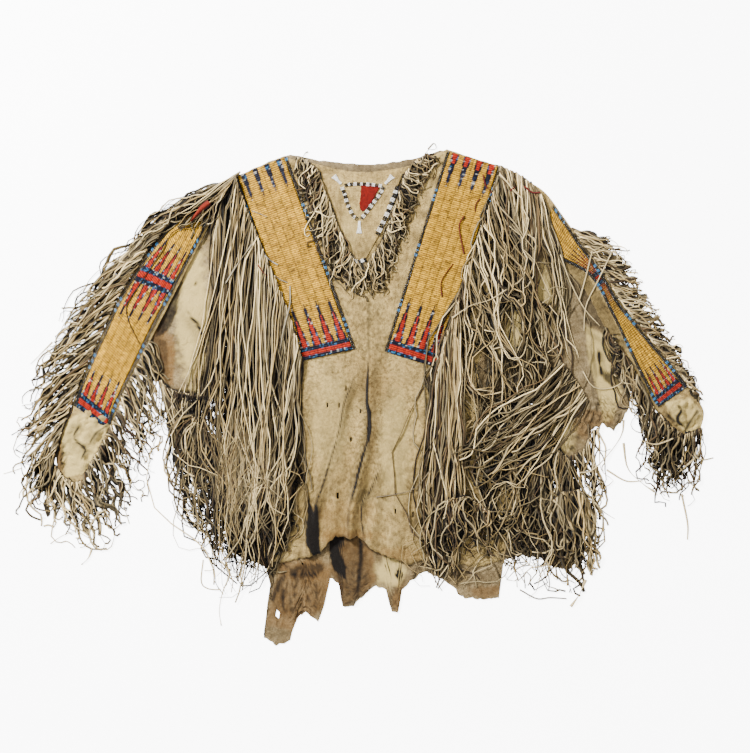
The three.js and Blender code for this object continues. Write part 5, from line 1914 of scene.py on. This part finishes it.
@dataclass
class Studio:
    """Camera straight over the shirt, soft light and a pale table."""

    aim: tuple[float, float] = (0.0185, 0.0336)
    view_height: float = 1.3554
    lens: float = 85.0
    sensor: float = 36.0

    def build(self) -> None:
        """Set up the camera, the lights and the floor."""
        data = bpy.data.cameras.new("Camera")
        data.lens, data.sensor_width = self.lens, self.sensor
        camera = link("Camera", data)
        camera.location = (*self.aim, self.view_height * self.lens / self.sensor + 0.006)
        bpy.context.scene.camera = camera
        self._light("Key", (-1.9, 1.8, 2.0), 0.6, 370.0)
        self._light("Fill", (1.6, -1.2, 3.0), 3.0, 66.0)
        world = bpy.data.worlds.new("Studio")
        world.use_nodes = True
        sky = world.node_tree.nodes["Background"].inputs
        sky["Color"].default_value, sky["Strength"].default_value = (1.0, 1.0, 1.0, 1.0), 0.62
        bpy.context.scene.world = world
        x, y = np.meshgrid(*[np.linspace(-4000, 4000, 9)] * 2, indexing="ij")
        grid = np.dstack([x, y, np.zeros(x.shape)])
        mesh = bpy.data.meshes.new("Table")
        mesh.from_pydata((grid.reshape(-1, 3) * MM).tolist(), [], grid_quads(9, 9)[:, ::-1].tolist())
        mesh.materials.append(FloorFinish("Pale_table").build())
        link("Table", mesh)

    def _light(self, name: str, at: tuple[float, float, float], size: float, power: float) -> None:
        """A square area light that looks at the shirt.

        Args:
            name: its name.
            at: its place in metres.
            size: its side in metres.
            power: in watts.
        """
        data = bpy.data.lights.new(name, "AREA")
        data.size, data.energy = size, power
        light = link(name, data)
        light.location = at
        light.rotation_euler = (math.atan2(math.hypot(at[0], at[1]), at[2]), 0.0, math.atan2(at[0], -at[1]))


# ------------------------------------------------------------------ the whole shirt


@dataclass
class Shirt:
    """All the pieces, in the order in which they lie."""

    pile: Pile = field(default_factory=Pile)

    def build(self) -> None:
        """Lay the hides, the strips and the bib, then the fringe, and paint shade on the hides under it."""
        hide = HideFinish("Buckskin").build()
        old = HideFinish("Old_buckskin", light="A08C66", mid="7C6846").build()
        thong, quill = ThongFinish("Cut_thongs").build(), QuillFinish("Dyed_quills").build()
        bead, rule = BeadFinish("Glass_beads").build(), FrontRule()
        right = Sleeve("Sleeve_right", (0.16, 0.66), 0.075, 11, RIGHT_CUFF_CREASES, RIGHT_CUFF_TINTS,
                       "54,452,13,26,6,30,1,0.36 88,440,26,30,6,76,0.3,0.14", rungs=RIGHT_SLEEVE)
        left = Sleeve("Sleeve_left", (0.16, 0.60), 0.060, 12, LEFT_CUFF_CREASES, LEFT_CUFF_TINTS,
                      "688,418,24,26,6,60,0.35,0.14", rungs=LEFT_SLEEVE)
        hides = (
            Panel("Back_hide", (0.64, 0.90), 0.42, 21, BACK_CREASES, BACK_TINTS, BACK_CRUMPLES, True,
                  columns=BACK_COLUMNS, holes=numbers("278,616,5,11"), step=3.7, stretch=3.1, low_detail=2.0,
                  ragged=3.5, lean=20.0, swell=0.3),
            Panel("Front_hide", (0.54, 0.76), 0.38, 22, FRONT_CREASES, FRONT_TINTS,
                  "400,545,26,20,1.6,34,0.12 345,520,34,22,1.8,30,0.2", rests_on=("Back_hide",),
                  columns=FRONT_COLUMNS, base=rule, holes=FRONT_HOLES, step=2.6, stretch=2.8, ragged=2.5),
            right,
            left,
            RightFlap("Underarm_flap_right", (0.17, 0.33), 0.034, 31, RIGHT_FLAP_CREASES, RIGHT_FLAP_TINTS,
                      old=True, sleeve=right),
            Panel("Underarm_flap_left", (0.28, 0.37), 0.055, 23, LEFT_FLAP_CREASES, LEFT_FLAP_TINTS,
                  LEFT_FLAP_CRUMPLES, True, rests_on=("Front_hide",), columns=LEFT_FLAP_COLUMNS,
                  base=LapRule(), step=3.0, stretch=1.5, ragged=5.0, swell=1.6),
        )
        sheets = [sheet.build(old if sheet.old else hide, self.pile) for sheet in hides]
        for strip in strips(rule, right, left):
            strip.build(quill, bead, self.pile)
        Bib(rule).build(hide, ClothFinish("Red_trade_cloth").build(), bead, self.pile)
        for row in FRINGE_ROWS:
            row.lay(self.pile)
        self.pile.even_out()
        for row in FRINGE_ROWS:
            row.dress(thong, self.pile)
        for loose in (
            LooseThongs("Neck_tie_right", 39, "8D7F62 3: 307,165 303,158 305,153 308,151.5"),
            LooseThongs("Neck_tie_left", 39, "8D7F62 3: 420,166 427,151 436,148.5 434,143 428,149"),
            LooseThongs("Loose_thongs", 40, LOOSE_THONGS),
        ):
            loose.build(thong, self.pile)
        for sheet in sheets:
            self.paint_shade_under_fringe(sheet.data)

    def paint_shade_under_fringe(self, mesh: bpy.types.Mesh) -> None:
        """Paint shade on a hide where thongs lie thick over it.

        Args:
            mesh: the hide's mesh, with its layer of soiling and painted shade.
        """
        at, soil = (np.empty(len(mesh.vertices) * size, dtype=np.float32) for size in (3, 1))
        mesh.vertices.foreach_get("co", at)
        mesh.attributes["soil"].data.foreach_get("value", soil)
        x, y, z = (at.reshape(-1, 3) / MM - TABLE_TO_FRAME).T
        wear_and_shade = 0.95 - 0.5 * smooth((x - 120) / 60)  # less painted shade on the left side, whose hide shows more
        # painted shade, by how deep the hide lies under the fringe
        under = wear_and_shade * smooth((self.pile.depth(x, y, z) - 1.5) / 5.0)
        mesh.attributes["soil"].data.foreach_set("value", np.maximum(soil, under).astype(np.float32))


def strips(rule: FrontRule, right: Sleeve, left: Sleeve) -> list[QuilledStrip]:
    """The four quilled strips with their designs.

    Args:
        rule: the front that the shoulder strips lie on.
        right, left: the sleeves.
    Returns:
        the strips.
    """
    edges = numbers("0.938,0.958,0.98,1.01 0.345,0.366,0.39,0.412"
                    " 0.314,0.334,0.357,0.378 0.925,0.95,0.975,1.01")
    ends, cross, drawn, low = ((Band(a, b), Band(b, c, True), Band(c, d)) for a, b, c, d in edges)
    old = Ink.GREY_BLUE
    right_corners = numbers("-231,389 -112,58 -136,428 -13,80")
    left_corners = numbers("250,407 137,46 151,437 39,76")
    return [
        QuilledStrip("Shoulder_strip_right", ShoulderSurface(right_corners, rule), 0.0, (
            Spikes(0.0, 0.145, core=0.0, wide=0.2, white=0.06, tip_ink=old), Spikes(0.938, 0.722), *ends)),
        QuilledStrip("Shoulder_strip_left", ShoulderSurface(left_corners, rule), 0.0, (
            Spikes(0.0, 0.165, core=0.3, wide=0.28, tip_ink=old), Spikes(0.938, 0.722), *ends), seed=52),
        QuilledStrip("Sleeve_strip_right", SleeveSurface(right, 1.0, 10.0, 5.0), 0.4, (
            Spikes(0.345, 0.21), Spikes(0.412, 0.567), Spikes(0.925, 0.79), *cross, *low), 5, 32.0, seed=53),
        QuilledStrip("Sleeve_strip_left", SleeveSurface(left, 1.5, 10.5, 7.0, 15.0), 0.2, (
            Spikes(0.314, 0.16), Spikes(0.378, 0.53), Spikes(0.925, 0.78), *drawn, *low), 5, seed=54,
            cad_lanes=("inner",)),
    ]


def main() -> None:
    """Build the studio and the shirt."""
    logging.basicConfig(level=logging.INFO, format="%(message)s")
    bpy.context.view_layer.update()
    Studio().build()
    Shirt().build()
    bpy.context.view_layer.update()


if __name__ == "__main__":
    main()
